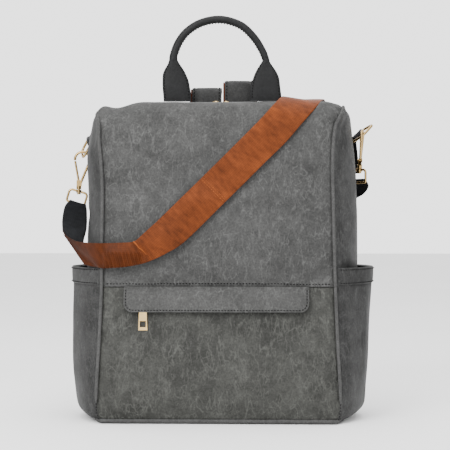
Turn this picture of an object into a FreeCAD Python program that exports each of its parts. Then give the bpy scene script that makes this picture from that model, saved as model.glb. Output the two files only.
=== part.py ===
"""Diaper bag: a soft leather-look backpack with a front pocket, side pockets, grab handle and shoulder strap.

Millimetres, +Z up, front of the bag towards -Y, origin at the centre of the base on the floor.
"""

import FreeCAD
import Part

import math
import os

from FreeCAD import Vector

# ---- driving dimensions ------------------------------------------------------------------------
HEIGHT = 372.0                 # base to the crown of the top
LEATHER = 2.6                  # panel thickness, face and backing together
LINING = 0.6
GAP = 0.4                      # room between neighbouring pieces
PIPING_R = 1.9
FRONT_ROLL_R = 27.0            # where the front panel rolls over the top
BACK_ROLL_R = 8.0
TOP_FRONT_END_Y = 29.0         # the front panel ends here, at the main zip
MAIN_ZIP_Y = 37.0
YOKE_START_Y = 45.0            # the back panel starts here, behind the main zip
FRONT_SEAM_Z = 156.0
FRONT_ZIP_Z = 134.0
ZIP_SLOT = 9.2                 # gap in the leather that the zip tapes fill
FRONT_ZIP_HALF = 99.0
MAIN_ZIP_HALF = 128.0
PANEL_FOOT_Z = 13.0            # where the upright panels meet the base
FLAP_HALF = 106.0
FLAP_CENTRE_X = -2.0
FLAP_BOTTOM_Z = 128.0
FLAP_THICK = 3.0
FLAP_CORNER_R = 10.0
FLAP_STANDOFF = 7.0            # the flap's lower edge stands this far off the panel
STRAP_THICK = 1.8
HANDLE_X = (-59.0, 55.0)
HANDLE_Y = 50.0
HANDLE_FOOT_Z = 376.0
HANDLE_TOP_Z = 475.0
HANDLE_R = 4.6
PADDLE_X = (-55.5, 54.0)
PADDLE_HALF = (16.5, 17.5)
PADDLE_THICK = 5.0
PADDLE_TOP_Z = 412.0
HANDLE_PIVOT_Z = HANDLE_FOOT_Z + 0.3 + PADDLE_THICK / 2
BACKPACK_WIDTH = 36.0
BACKPACK_THICK = 3.4
WEBBING_WIDTH = 25.0
WEBBING_THICK = 1.6
RING_WIRE = 1.5
RING_INSIDE = 25.0
RING_DEPTH = 18.0
RING_BOW_R = 7.0
RING_CORNER_X = RING_INSIDE / 2 + RING_WIRE - RING_BOW_R * (1 - math.sqrt(0.5))
RING_CORNER_Z = RING_DEPTH + RING_WIRE - RING_BOW_R * (1 - math.sqrt(0.5))
HOOK_WIRE = 1.6
HOOK_EYE_R = 9.2
HOOK_EYE_X = 4.5
HOOK_EYE_Z = 27.5
LOOP_WIRE = 1.4
LOOP_INSIDE = 20.0
LOOP_DEPTH = 14.0
POCKET_RIM_Z = 178.0
POCKET_BAND = 20.0
POCKET_LEATHER = 2.0
BAND_LEATHER = 3.0
POCKET_OUT = 3.4               # the pocket's seams stand this far outside the gusset's

# Each station is (height, value); values between stations follow a smooth curve.
FRONT_HALF_WIDTH = [
    (0, 136), (20, 139), (100, 135.3), (170, 132.8), (240, 131.2), (300, 130.3), (338, 133.5), (372, 138),
]
FRONT_Y = [(0, -69), (20, -73), (100, -70), (157, -65), (250, -58), (345, -50)]
BACK_Y = [(0, 69), (20, 72), (120, 71), (250, 68), (345, 64), (372, 62)]
BACK_HALF_WIDTH = [(0, 140), (20, 147), (120, 151), (250, 152), (340, 150), (372, 148)]
SIDE_BULGE = [(0, 8), (20, 13), (100, 17), (200, 18.5), (285, 17.5), (340, 11), (362, 3)]
POCKET_BULGE = [(4, 18), (16, 24), (40, 27), (76, 29), (136, 32), (178, 34)]


# ---- helpers -----------------------------------------------------------------------------------
def curve_value(stations, at):
    """Catmull-Rom value through (position, value) stations, held at the ends."""
    if at <= stations[0][0]:
        return float(stations[0][1])
    if at >= stations[-1][0]:
        return float(stations[-1][1])
    i = max(k for k in range(len(stations) - 1) if stations[k][0] <= at)
    x1, y1 = stations[i]
    x2, y2 = stations[i + 1]
    x0, y0 = stations[max(i - 1, 0)]
    x3, y3 = stations[min(i + 2, len(stations) - 1)]
    slope1 = (y2 - y0) / (x2 - x0)
    slope2 = (y3 - y1) / (x3 - x1)
    span = x2 - x1
    t = (at - x1) / span
    h1 = 2 * t**3 - 3 * t**2 + 1
    h2 = t**3 - 2 * t**2 + t
    h3 = -2 * t**3 + 3 * t**2
    h4 = t**3 - t**2
    return h1 * y1 + h2 * span * slope1 + h3 * y2 + h4 * span * slope2


def front_half(z):
    return curve_value(FRONT_HALF_WIDTH, z)


def front_y(z):
    """Y of the front face, and of the roll above it, at a height."""
    roll_start = HEIGHT - FRONT_ROLL_R
    if z <= roll_start:
        return curve_value(FRONT_Y, z)
    rise = min(z - roll_start, FRONT_ROLL_R)
    return FRONT_Y[-1][1] + FRONT_ROLL_R - math.sqrt(FRONT_ROLL_R**2 - rise**2)


def back_y(z):
    return curve_value(BACK_Y, z)


def back_half(z):
    return curve_value(BACK_HALF_WIDTH, z)


def top_half(y):
    """Half width of the top at a depth: it widens from the front roll to the back."""
    start, end = front_y(HEIGHT), BACK_Y[-1][1]
    t = max(0.0, (y - start) / (end - start))
    return front_half(HEIGHT) + (back_half(HEIGHT) - front_half(HEIGHT)) * t


def side_x(z, t, bulge):
    """Half width of the side at a height, t of the way from the front seam to the back seam."""
    base = front_half(z) + (back_half(z) - front_half(z)) * t
    return base + bulge * math.sin(math.pi * t) ** 0.75


def side_y(z, t):
    start = front_y(z) + 2 * PIPING_R
    return start + (back_y(z) - LEATHER - GAP - start) * t


def grid_normals(grid):
    """Unit normals of a grid of points, from its rows and columns."""
    rows, cols = len(grid), len(grid[0])
    normals = []
    for i in range(rows):
        line = []
        for j in range(cols):
            along = grid[min(i + 1, rows - 1)][j] - grid[max(i - 1, 0)][j]
            across = grid[i][min(j + 1, cols - 1)] - grid[i][max(j - 1, 0)]
            normal = along.cross(across)
            normal.normalize()
            line.append(normal)
        normals.append(line)
    return normals


def triangles(quad):
    a, b, c, d = quad
    return [Part.Face(Part.makePolygon([a, b, c, a])), Part.Face(Part.makePolygon([a, c, d, a]))]


def solid_between(outer, inner):
    """Closed solid between two grids of points."""
    rows, cols = len(outer), len(outer[0])
    faces = []
    for i in range(rows - 1):
        for j in range(cols - 1):
            corners = [(i, j), (i + 1, j), (i + 1, j + 1), (i, j + 1)]
            faces += triangles([outer[a][b] for a, b in corners])
            faces += triangles([inner[a][b] for a, b in reversed(corners)])
    rim = [(i, 0) for i in range(rows)]
    rim += [(rows - 1, j) for j in range(1, cols)]
    rim += [(i, cols - 1) for i in range(rows - 2, -1, -1)]
    rim += [(0, j) for j in range(cols - 2, -1, -1)]
    for (a, b), (c, d) in zip(rim, rim[1:]):
        faces += triangles([outer[a][b], inner[a][b], inner[c][d], outer[c][d]])
    solid = Part.Solid(Part.Shell(faces))
    if solid.Volume < 0:
        solid.reverse()
    return solid


def thick_sheet(grid, thickness, flip=False):
    """Closed solid of a sheet: its outer face is the grid, and it is this thick behind its normals."""
    sign = -1.0 if flip else 1.0
    normals = grid_normals(grid)
    inner = [
        [p - n * (sign * thickness) for p, n in zip(row, line)] for row, line in zip(grid, normals)
    ]
    return solid_between(grid, inner)


def mirror_x(shape):
    return shape.mirror(Vector(0, 0, 0), Vector(1, 0, 0))


def steps(start, end, count):
    return [start + (end - start) * k / (count - 1) for k in range(count)]


def prism(points, direction):
    """Extrusion of a closed outline."""
    face = Part.Face(Part.makePolygon(points + [points[0]]))
    return face.extrude(direction)


def bar(start, end, radius):
    axis = end - start
    return Part.makeCylinder(radius, axis.Length, start, axis)


def bent_wire(points, radii, wire_radius, closed):
    """Round wire along straight runs with a rounded corner at each inner point."""
    count = len(points)
    order = range(count) if closed else range(1, count - 1)
    starts = {0: points[0]}
    ends = {count - 1: points[-1]}
    parts = []
    for i in order:
        before, here, after = points[i - 1], points[i], points[(i + 1) % count]
        into = (here - before).normalize()
        out = (after - here).normalize()
        turn = into.getAngle(out)
        setback = radii[i] * math.tan(turn / 2)
        first = here - into * setback
        last = here + out * setback
        axis = into.cross(out).normalize()
        centre = first + axis.cross(into) * radii[i]
        section = Part.Face(Part.Wire(Part.makeCircle(wire_radius, first, into)))
        parts.append(section.revolve(centre, axis, math.degrees(turn)))
        ends[i] = first
        starts[i] = last
    runs = count if closed else count - 1
    for i in range(runs):
        a, b = starts[i], ends[(i + 1) % count]
        if (b - a).Length > 0.01:
            parts.append(bar(a, b, wire_radius))
    return parts[0].fuse(parts[1:]).removeSplitter()


def placed(shape, origin, x_axis, z_axis):
    """Moves a shape from its own axes to a place: its X and Z axes there are given."""
    x = Vector(x_axis).normalize()
    z = Vector(z_axis)
    z = (z - x * z.dot(x)).normalize()
    y = z.cross(x)
    matrix = FreeCAD.Matrix(
        x.x, y.x, z.x, origin[0],
        x.y, y.y, z.y, origin[1],
        x.z, y.z, z.z, origin[2],
        0, 0, 0, 1,
    )
    result = shape.copy()
    result.Placement = FreeCAD.Placement(matrix)
    return result


def export(shape, name):
    if not shape.isValid():
        print("not valid:", name)
    for solid in shape.Solids:
        if solid.Volume <= 0:
            print("turned inside out:", name)
    shape.exportStep(os.path.join("parts", name + ".step"))


# ---- shell -------------------------------------------------------------------------------------
def front_row(z_or_y, columns, on_top):
    """One row of points across the front face or, past the roll, across the top."""
    if on_top:
        half = top_half(z_or_y) - PIPING_R
        high = HEIGHT - 0.02 * (z_or_y - front_y(HEIGHT))
        return [Vector(x, z_or_y, high) for x in steps(-half, half, columns)]
    half = front_half(z_or_y) - PIPING_R
    return [Vector(x, front_y(z_or_y), z_or_y) for x in steps(-half, half, columns)]


def front_upper_panel():
    """From the front seam up, over the roll and back to the main zip."""
    columns = 7
    roll_start = HEIGHT - FRONT_ROLL_R
    rows = [front_row(z, columns, False) for z in (FRONT_SEAM_Z + GAP, 200, 250, 300, roll_start)]
    for degrees in (22.5, 45, 67.5):
        z = roll_start + FRONT_ROLL_R * math.sin(math.radians(degrees))
        rows.append(front_row(z, columns, False))
    rows += [front_row(y, columns, True) for y in (front_y(HEIGHT), 3.0, TOP_FRONT_END_Y)]
    return thick_sheet(rows, LEATHER, flip=True)


def front_pocket_panel():
    """Lower front panel up to the front seam, with the slot for the front zip."""
    levels = [PANEL_FOOT_Z, 45, 80, 112, FRONT_ZIP_Z, FRONT_SEAM_Z]
    panel = thick_sheet([front_row(z, 7, False) for z in levels], LEATHER, flip=True)
    half = FRONT_ZIP_HALF + 2.0
    corner = Vector(FLAP_CENTRE_X - half, front_y(FRONT_ZIP_Z) - 5, FRONT_ZIP_Z - ZIP_SLOT / 2)
    return panel.cut(Part.makeBox(2 * half, 12.0, ZIP_SLOT, corner))


def front_pocket_lining():
    """Flat pouch wall behind the front pocket, hung from the seam."""
    inset = 9.0
    rows = []
    for z in steps(28.0, FRONT_SEAM_Z - 4, 4):
        half = front_half(z) - inset
        y = front_y(z) + LEATHER + 9.0
        rows.append([Vector(x, y, z) for x in steps(-half, half, 5)])
    return thick_sheet(rows, LINING, flip=True)


def side_grid(levels, bulge_stations, columns, outward=0.0):
    rows = []
    for z in levels:
        bulge = curve_value(bulge_stations, z)
        line = []
        for t in steps(0.0, 1.0, columns):
            line.append(Vector(side_x(z, t, bulge) + outward, side_y(z, t), z))
        rows.append(line)
    return rows


def side_gusset():
    """Right-hand side panel; the left one is its mirror image."""
    levels = [PANEL_FOOT_Z, 50, 100, 150, 200, 245, 290, 325, 345, 358, HEIGHT - 7]
    return thick_sheet(side_grid(levels, SIDE_BULGE, 8), LEATHER)


def back_panel():
    """From behind the main zip, over the back edge and down to the base."""
    columns = 5
    edge = back_y(HEIGHT)
    high = HEIGHT - 2.0
    half_top = back_half(HEIGHT) - 2.0
    rows = []
    for y in (YOKE_START_Y, edge - BACK_ROLL_R):
        rows.append([Vector(x, y, high) for x in steps(-half_top, half_top, columns)])
    for degrees in (45, 90):
        angle = math.radians(degrees)
        y = edge - BACK_ROLL_R + BACK_ROLL_R * math.sin(angle)
        z = high - BACK_ROLL_R + BACK_ROLL_R * math.cos(angle)
        rows.append([Vector(x, y, z) for x in steps(-half_top, half_top, columns)])
    for z in (300, 220, 140, 70, PANEL_FOOT_Z):
        half = back_half(z) - 1.0
        rows.append([Vector(x, back_y(z), z) for x in steps(-half, half, columns)])
    return thick_sheet(rows, LEATHER, flip=True)


def base_outline(z, inset):
    """Outline of the bag in plan near its foot, front edge first."""
    right = []
    bulge = curve_value(POCKET_BULGE, z)
    for t in steps(0.0, 1.0, 7):
        right.append(Vector(side_x(z, t, bulge) - inset, side_y(z, t) * (1 - inset / 75.0), z))
    left = [Vector(-p.x, p.y, p.z) for p in reversed(right)]
    return right + left


def base_panel():
    """Flat-bottomed tray with a rounded lower edge."""
    sections = [(0.0, 9.0), (3.0, 4.0), (PANEL_FOOT_Z - GAP, 0.5)]
    wires = []
    for z, inset in sections:
        outline = base_outline(z, inset)
        wires.append(Part.makePolygon(outline + [outline[0]]))
    outer = Part.makeLoft(wires, True, True)
    inner_wires = []
    for z, inset in ((LEATHER, 12.0), (PANEL_FOOT_Z + 2.0, 4.0)):
        outline = [Vector(p.x, p.y, z) for p in base_outline(sections[-1][0], inset)]
        inner_wires.append(Part.makePolygon(outline + [outline[0]]))
    return outer.cut(Part.makeLoft(inner_wires, True, True))


def base_board():
    """Stiff board lying in the base."""
    half_x, half_y, thick, corner = 128.0, 52.0, 2.0, 12.0
    board = Part.makeBox(2 * half_x, 2 * half_y, thick, Vector(-half_x, -half_y, LEATHER + GAP))
    uprights = [e for e in board.Edges if abs(e.Vertexes[0].Z - e.Vertexes[1].Z) > thick / 2]
    return board.makeFillet(corner, uprights)


def main_lining():
    """Thin bag inside the shell, open at the top along the main zip."""
    sections = [(8.0, 126.0, -48.0, 58.0), (160.0, 120.0, -44.0, 60.0), (330.0, 118.0, -38.0, 56.0)]
    outer, inner = [], []
    for z, half, front, back in sections:
        for wires, inset in ((outer, 0.0), (inner, LINING)):
            x, f, b = half - inset, front + inset, back - inset
            level = z + inset if z == sections[0][0] else z
            corners = [Vector(-x, f, level), Vector(x, f, level), Vector(x, b, level), Vector(-x, b, level)]
            wires.append(Part.makePolygon(corners + [corners[0]]))
    return Part.makeLoft(outer, True, True).cut(Part.makeLoft(inner, True, True))


def piping():
    """Round cord in the right front seam, from the foot over the roll to the back corner."""
    roll_start = HEIGHT - FRONT_ROLL_R
    levels = (22, 60, 110, 160, 210, 260, 300, 325, roll_start)
    line = [Vector(front_half(z), front_y(z) + PIPING_R, z) for z in levels]
    for degrees in (30, 60, 90):
        angle = math.radians(degrees)
        z = roll_start + (FRONT_ROLL_R - PIPING_R) * math.sin(angle)
        y = FRONT_Y[-1][1] + FRONT_ROLL_R - (FRONT_ROLL_R - PIPING_R) * math.cos(angle)
        line.append(Vector(front_half(z), y, z))
    for y in (5.0, TOP_FRONT_END_Y, 50.0):
        line.append(Vector(top_half(y), y, HEIGHT - PIPING_R - 0.02 * (y + 23)))
    sides = 8
    rings = []
    for k, p in enumerate(line):
        ahead = line[min(k + 1, len(line) - 1)] - line[max(k - 1, 0)]
        u = ahead.cross(Vector(1, 0, 0)).normalize()
        v = ahead.cross(u).normalize()
        ring = []
        for s in range(sides):
            angle = 2 * math.pi * s / sides
            ring.append(p + u * (PIPING_R * math.cos(angle)) + v * (PIPING_R * math.sin(angle)))
        rings.append(ring)
    faces = [Part.Face(Part.makePolygon(rings[0] + [rings[0][0]]))]
    faces.append(Part.Face(Part.makePolygon(rings[-1] + [rings[-1][0]])))
    for a, b in zip(rings, rings[1:]):
        for s in range(sides):
            t = (s + 1) % sides
            faces += triangles([a[s], a[t], b[t], b[s]])
    solid = Part.Solid(Part.Shell(faces))
    if solid.Volume < 0:
        solid.reverse()
    return solid


# ---- side pockets ------------------------------------------------------------------------------
def side_pocket():
    """Right-hand pouch over the side gusset: open at the top, closed round its foot."""
    levels = [PANEL_FOOT_Z + GAP, 24, 40, 76, 110, 140, POCKET_RIM_Z - POCKET_BAND - GAP]
    return thick_sheet(side_grid(levels, POCKET_BULGE, 8, POCKET_OUT), POCKET_LEATHER)


def pocket_band():
    """Doubled band along the pocket's rim."""
    levels = [POCKET_RIM_Z - POCKET_BAND, POCKET_RIM_Z]
    return thick_sheet(side_grid(levels, POCKET_BULGE, 8, POCKET_OUT), BAND_LEATHER)


# ---- flap and zips -----------------------------------------------------------------------------
def flap_grid_row(z, lift, half, columns):
    return [Vector(FLAP_CENTRE_X + x, front_y(z) - lift, z) for x in steps(-half, half, columns)]


def front_flap():
    """Flap over the front zip: sewn along its top edge, with round lower corners."""
    rows = []
    levels = [FRONT_SEAM_Z + 1.0, 148.0, 140.0, FLAP_BOTTOM_Z + FLAP_CORNER_R]
    for degrees in (30, 60, 80):
        levels.append(FLAP_BOTTOM_Z + FLAP_CORNER_R * (1 - math.sin(math.radians(degrees))))
    for z in levels:
        share = (levels[0] - z) / (levels[0] - FLAP_BOTTOM_Z)
        lift = FLAP_THICK + GAP + FLAP_STANDOFF * share**0.7
        drop = max(0.0, FLAP_BOTTOM_Z + FLAP_CORNER_R - z)
        half = FLAP_HALF - FLAP_CORNER_R + math.sqrt(max(FLAP_CORNER_R**2 - drop**2, 0.0))
        rows.append(flap_grid_row(z, lift, half, 7))
    rows.reverse()
    return thick_sheet(rows, FLAP_THICK - 0.4, flip=True)


def zip_tapes(half_length, tape, place):
    """Two cloth tapes with room for the coil between them, built flat and then placed."""
    coil = 2.6
    upper = Part.makeBox(2 * half_length, 0.8, tape, Vector(-half_length, 0, coil / 2 + 0.1))
    lower = Part.makeBox(2 * half_length, 0.8, tape, Vector(-half_length, 0, -coil / 2 - tape - 0.1))
    return Part.makeCompound([place(upper), place(lower)])


def zip_coil(half_length, place):
    """The closed coil as one low rib."""
    height, depth = 2.6, 1.4
    return place(Part.makeBox(2 * half_length, depth, height, Vector(-half_length, -0.4, -height / 2)))


def on_front_zip(shape):
    result = shape.copy()
    result.translate(Vector(FLAP_CENTRE_X, front_y(FRONT_ZIP_Z) + 1.0, FRONT_ZIP_Z))
    return result


def on_main_zip(shape):
    result = shape.copy()
    result.rotate(Vector(0, 0, 0), Vector(1, 0, 0), -90)
    result.translate(Vector(0, MAIN_ZIP_Y, HEIGHT - 2.4))
    return result


def zip_slider():
    """Slider body, in its own axes: the coil runs along X, the bridge stands out to -Y."""
    body = Part.makeBox(11.0, 2.6, 8.4, Vector(-5.5, -3.4, -4.2))
    corners = [e for e in body.Edges if abs(e.Vertexes[0].Y - e.Vertexes[1].Y) > 2]
    body = body.makeFillet(2.4, corners)
    ears = [Part.makeBox(1.4, 2.9, 3.4, Vector(x, -5.9, -1.7)) for x in (-2.9, 1.5)]
    bridge = Part.makeCylinder(0.7, 5.8, Vector(-2.9, -5.1, 0), Vector(1, 0, 0))
    return body.fuse(ears + [bridge])


def zip_puller(length, width_top, width_low, window):
    """Flat metal pull, hanging from the bridge at its origin: a round eye, then a framed plate."""
    thick = 1.5
    top, low = -3.4, -length
    outline = [
        Vector(-width_top / 2, -thick / 2, top),
        Vector(width_top / 2, -thick / 2, top),
        Vector(width_low / 2, -thick / 2, low),
        Vector(-width_low / 2, -thick / 2, low),
    ]
    plate = prism(outline, Vector(0, thick, 0))
    hole_low, hole_high, hole_half = window
    corner = Vector(-hole_half, -1.5 * thick, hole_low)
    hole = Part.makeBox(2 * hole_half, 3 * thick, hole_high - hole_low, corner)
    plate = plate.cut(hole)
    link = Part.makeBox(2.4, thick, 3.0, Vector(-1.2, -thick / 2, -3.9))
    eye = Part.makeCylinder(1.6, 2.4, Vector(-1.2, 0, 0), Vector(1, 0, 0))
    bore = Part.makeCylinder(0.95, 4.0, Vector(-2.0, 0, 0), Vector(1, 0, 0))
    return plate.fuse([link, eye]).cut(bore)


def zip_end_tabs():
    """Two leather tabs that cover the ends of the main zip."""
    tabs = []
    for side in (-1, 1):
        x = 127.0 if side > 0 else -143.0
        tabs.append(Part.makeBox(16.0, 14.0, 1.6, Vector(x, MAIN_ZIP_Y - 7.0, HEIGHT - 0.9)))
    return Part.makeCompound(tabs)


# ---- grab handle -------------------------------------------------------------------------------
def handle_arch(radius):
    """Round arch between the tops of the two paddles."""
    middle = (HANDLE_X[0] + HANDLE_X[1]) / 2
    outline = [(59.0, PADDLE_TOP_Z - 6.0), (56.5, HANDLE_TOP_Z - 36.0), (26.0, HANDLE_TOP_Z)]
    left = [Vector(middle - x, HANDLE_Y, z) for x, z in outline]
    right = [Vector(middle + x, HANDLE_Y, z) for x, z in reversed(outline)]
    return bent_wire(left + right, [0, 42.0, 45.0, 45.0, 42.0, 0], radius, False)


def paddle(x, half, neck_x):
    """Flat stitched end of the handle: narrow at the top, and round along its fold line."""
    front = HANDLE_Y - PADDLE_THICK / 2
    low, high = HANDLE_PIVOT_Z, PADDLE_TOP_Z
    outline = [
        (x - half + 1, low),
        (x + half - 1, low),
        (x + half, low + 14),
        (x + half - 4, high - 2),
        (neck_x + HANDLE_R, high + 14),
        (neck_x - HANDLE_R, high + 14),
        (x - half + 4, high - 2),
        (x - half, low + 14),
    ]
    plate = prism([Vector(px, front, pz) for px, pz in outline], Vector(0, PADDLE_THICK, 0))
    fold = bar(Vector(x - half + 1, HANDLE_Y, low), Vector(x + half - 1, HANDLE_Y, low), PADDLE_THICK / 2)
    return plate.fuse(fold)


def grab_handle():
    paddles = [paddle(x, half, neck_x) for x, half, neck_x in zip(PADDLE_X, PADDLE_HALF, HANDLE_X)]
    wrap = handle_arch(HANDLE_R).fuse(paddles)
    return wrap.cut(handle_arch(HANDLE_R - 1.4))


def handle_anchor(x, paddle_half):
    """Sewn foot of a paddle, below the fold line, on the yoke behind the zip."""
    half = paddle_half - 1
    return Part.makeBox(2 * half, 4.0, 5.4, Vector(x - half, HANDLE_Y - 2.0, HANDLE_FOOT_Z - 5.6))


# ---- backpack straps ---------------------------------------------------------------------------
def ribbon(centres, across, width, thickness):
    """Flat strap along centre points, each with its own direction across the strap."""
    rows = []
    for k, centre in enumerate(centres):
        w = across[k] if isinstance(across, list) else across
        w = Vector(w).normalize() * (width / 2)
        rows.append([centre - w, centre, centre + w])
    return thick_sheet(rows, thickness)


def backpack_strap(x, rise, foot_x):
    """Padded strap: up out of the back seam, over in a short loop, and down the back."""
    out = back_y(HEIGHT)
    centres = [
        Vector(x, out + 1.5, HEIGHT - 12),
        Vector(x, out + 2.0, HEIGHT + rise - 8),
        Vector(x, out + 5.0, HEIGHT + rise - 2),
        Vector(x, out + 10.0, HEIGHT + rise),
        Vector(x, out + 16.0, HEIGHT + rise - 5),
        Vector(x + (foot_x - x) * 0.05, out + 19.5, HEIGHT + rise - 22),
        Vector(x + (foot_x - x) * 0.25, out + 22.0, 320),
        Vector(x + (foot_x - x) * 0.55, out + 23.0, 255),
        Vector(x + (foot_x - x) * 0.8, out + 21.0, 190),
        Vector(foot_x, out + 18.0, 130),
    ]
    return ribbon(centres, Vector(-1, 0, 0), BACKPACK_WIDTH, BACKPACK_THICK)


def webbing(foot_x, ring_x):
    """Lower webbing between the strap's foot and the ring at the bag's lower corner."""
    out = back_y(60)
    start, end = Vector(foot_x, out + 12.0, 136), Vector(ring_x, out + 9.6, 48)
    direction = end - start
    across = Vector(0, 1, 0).cross(direction)
    return ribbon([start, start + direction * 0.5, end], across, WEBBING_WIDTH, WEBBING_THICK), start, end


def adjuster(start, end):
    """Adjuster buckle round the webbing: a rectangular frame with a middle bar behind the webbing."""
    wide, tall, deep = WEBBING_WIDTH + 7.0, 22.0, 5.6
    frame = Part.makeBox(wide, deep, tall, Vector(-wide / 2, -deep / 2, -tall / 2))
    frame = frame.makeFillet(2.0, frame.Edges)
    half_slot = WEBBING_WIDTH / 2 + 0.6
    channel = Part.makeBox(2 * half_slot, 2.4, tall + 4, Vector(-half_slot, -1.2, -tall / 2 - 2))
    windows = [Part.makeBox(2 * half_slot, deep, 5.5, Vector(-half_slot, 0, z)) for z in (-6.9, 1.4)]
    frame = frame.cut([channel] + windows)
    middle = start + (end - start) * 0.42 - Vector(0, WEBBING_THICK / 2, 0)
    across = Vector(0, 1, 0).cross(start - end)
    return placed(frame, tuple(middle), across, start - end)


def rectangle_ring(width, height, wire):
    half_w, half_h = width / 2 + wire, height / 2 + wire
    corners = [(-half_w, -half_h), (half_w, -half_h), (half_w, half_h), (-half_w, half_h)]
    return bent_wire([Vector(x, 0, z) for x, z in corners], [3.0] * 4, wire, True)


def lower_tab(ring_x):
    """Leather triangle sewn into the lower back corner; it holds the ring."""
    out = back_y(40)
    outline = [
        Vector(ring_x - 11, out + 3.0, 42),
        Vector(ring_x + 11, out + 3.0, 42),
        Vector(ring_x + 24, out + 3.0, 12),
        Vector(ring_x - 4, out + 3.0, 6),
    ]
    tab = prism(outline, Vector(0, 2.4, 0))
    roll = Part.makeCylinder(4.0, 22.0, Vector(ring_x - 11, out + 6.0, 42), Vector(1, 0, 0))
    bore = Part.makeCylinder(1.75, 26.0, Vector(ring_x - 13, out + 6.0, 42), Vector(1, 0, 0))
    return tab.fuse(roll).cut(bore)


# ---- shoulder strap ----------------------------------------------------------------------------
# Pairs of points on the two edges of the strap, from the left fold, across the front, over the top,
# and down behind the right back edge.
STRAP_ROWS = [
    ((-188.5, 7, 215.5), (-156.0, -50, 181.5)),
    ((-171.5, -20, 208.5), (-142.5, -64, 179.5)),
    ((-152.0, -50, 206.7), (-134.0, -74, 178.3)),
    ((-133.5, -71, 206.7), (-124.0, -78, 178.5)),
    ((-112.0, -77, 207.5), (-106.5, -80, 179.7)),
    ((-95.5, -79, 208.5), (-82.0, -80, 184.5)),
    ((-85.5, -77, 217.0), (-60.0, -78, 194.0)),
    ((-65.7, -73, 235.5), (-38.0, -74, 208.5)),
    ((-24.0, -68, 276.5), (3.5, -70, 249.0)),
    ((26.3, -62, 326.5), (53.7, -64, 299.0)),
    ((49.0, -56, 350.0), (77.0, -60, 322.0)),
    ((64.0, -46, 367.5), (100.0, -52, 350.0)),
    ((73.0, -25, 376.5), (117.0, -34, 372.0)),
    ((80.0, -2, 377.0), (121.0, -14, 376.5)),
    ((90.0, 40, 377.0), (127.0, 30, 376.5)),
    ((97.0, 66, 374.0), (132.0, 62, 374.0)),
    ((102.0, 91, 358.0), (138.0, 79, 355.0)),
    ((115.0, 94, 330.0), (154.0, 77, 326.0)),
    ((130.0, 94, 305.0), (167.0, 74, 302.0)),
    ((133.0, 93, 292.0), (168.0, 75, 276.0)),
]
STRAP_END_LEFT = [
    ((-186.8, 55.5, 256.5), (-167.3, 57.5, 250.5)),
    ((-193.0, 50.0, 247.5), (-166.8, 50.0, 241.5)),
    ((-194.0, 40.0, 231.5), (-166.5, 28.0, 224.0)),
    ((-192.5, 28.0, 223.0), (-166.0, -2.0, 208.0)),
    ((-190.5, 17.0, 218.0), (-158.5, -39.0, 187.0)),
]
STRAP_END_RIGHT = [
    ((173.5, 43.5, 281.5), (163.2, 57.5, 281.5)),
    ((177.6, 46.0, 272.0), (160.0, 70.0, 266.0)),
    ((170.0, 58.0, 263.0), (148.0, 84.0, 252.0)),
    ((158.0, 74.0, 270.0), (136.0, 91.0, 262.0)),
]


def strap_from_rows(rows, thickness):
    grid = []
    for a, b in rows:
        first, second = Vector(*a), Vector(*b)
        grid.append([first, (first + second) * 0.5, second])
    return thick_sheet(grid, thickness)


# ---- rings, hooks and swivel loops -------------------------------------------------------------
class Hardware:
    """Where one side's D-ring, snap hook and swivel loop are, and how they are turned."""

    def __init__(self, bar_centre, bar_axis, ring_axis, hang, play, hook_up, hook_across, loop_across):
        self.bar_centre = bar_centre
        self.bar_axis = Vector(*bar_axis).normalize()
        along = Vector(*ring_axis)
        self.ring_axis = (along - self.bar_axis * along.dot(self.bar_axis)).normalize()
        self.hook_up = Vector(*hook_up).normalize()
        across = Vector(*hook_across)
        self.hook_across = (across - self.hook_up * across.dot(self.hook_up)).normalize()
        point = Vector(*bar_centre) + self.bar_axis * hang[0] + self.ring_axis * hang[1]
        reach = HOOK_EYE_Z + HOOK_EYE_R - HOOK_WIRE - RING_WIRE - play
        rivet = point - self.hook_across * HOOK_EYE_X - self.hook_up * reach
        self.rivet = (rivet.x, rivet.y, rivet.z)
        self.loop_across = loop_across


LEFT = Hardware(
    bar_centre=(-162.3, 56.0, 328.5),
    bar_axis=(0.186, -0.925, -0.336),
    ring_axis=(-0.49, 0.21, -0.85),
    hang=(0.0, RING_DEPTH + RING_WIRE),
    play=0.5,
    hook_up=(0.0, 0.0, 1.0),
    hook_across=(1.0, 0.0, 0.0),
    loop_across=(0.956, 0.0, -0.292),
)
RIGHT = Hardware(
    bar_centre=(166.5, 58.0, 334.8),
    bar_axis=(0.52, 0.64, 0.565),
    ring_axis=(0.622, -0.685, 0.378),
    hang=(-RING_CORNER_X, RING_CORNER_Z),
    play=3.6,
    hook_up=(0.04, -0.34, 0.94),
    hook_across=(0.17, 0.98, 0.0),
    loop_across=(0.60, -0.80, 0.0),
)


def dring(place, room=0.0):
    """D-ring in its own axes: the bar along X, the bow towards -Z. With room, the space it needs."""
    half = RING_INSIDE / 2 + RING_WIRE
    deep = RING_DEPTH + RING_WIRE
    points = [Vector(-half, 0, 0), Vector(half, 0, 0), Vector(half, 0, -deep), Vector(-half, 0, -deep)]
    shape = bent_wire(points, [2.2, 2.2, RING_BOW_R, RING_BOW_R], RING_WIRE + room, True)
    return placed(shape, place.bar_centre, place.bar_axis, -place.ring_axis)


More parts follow.
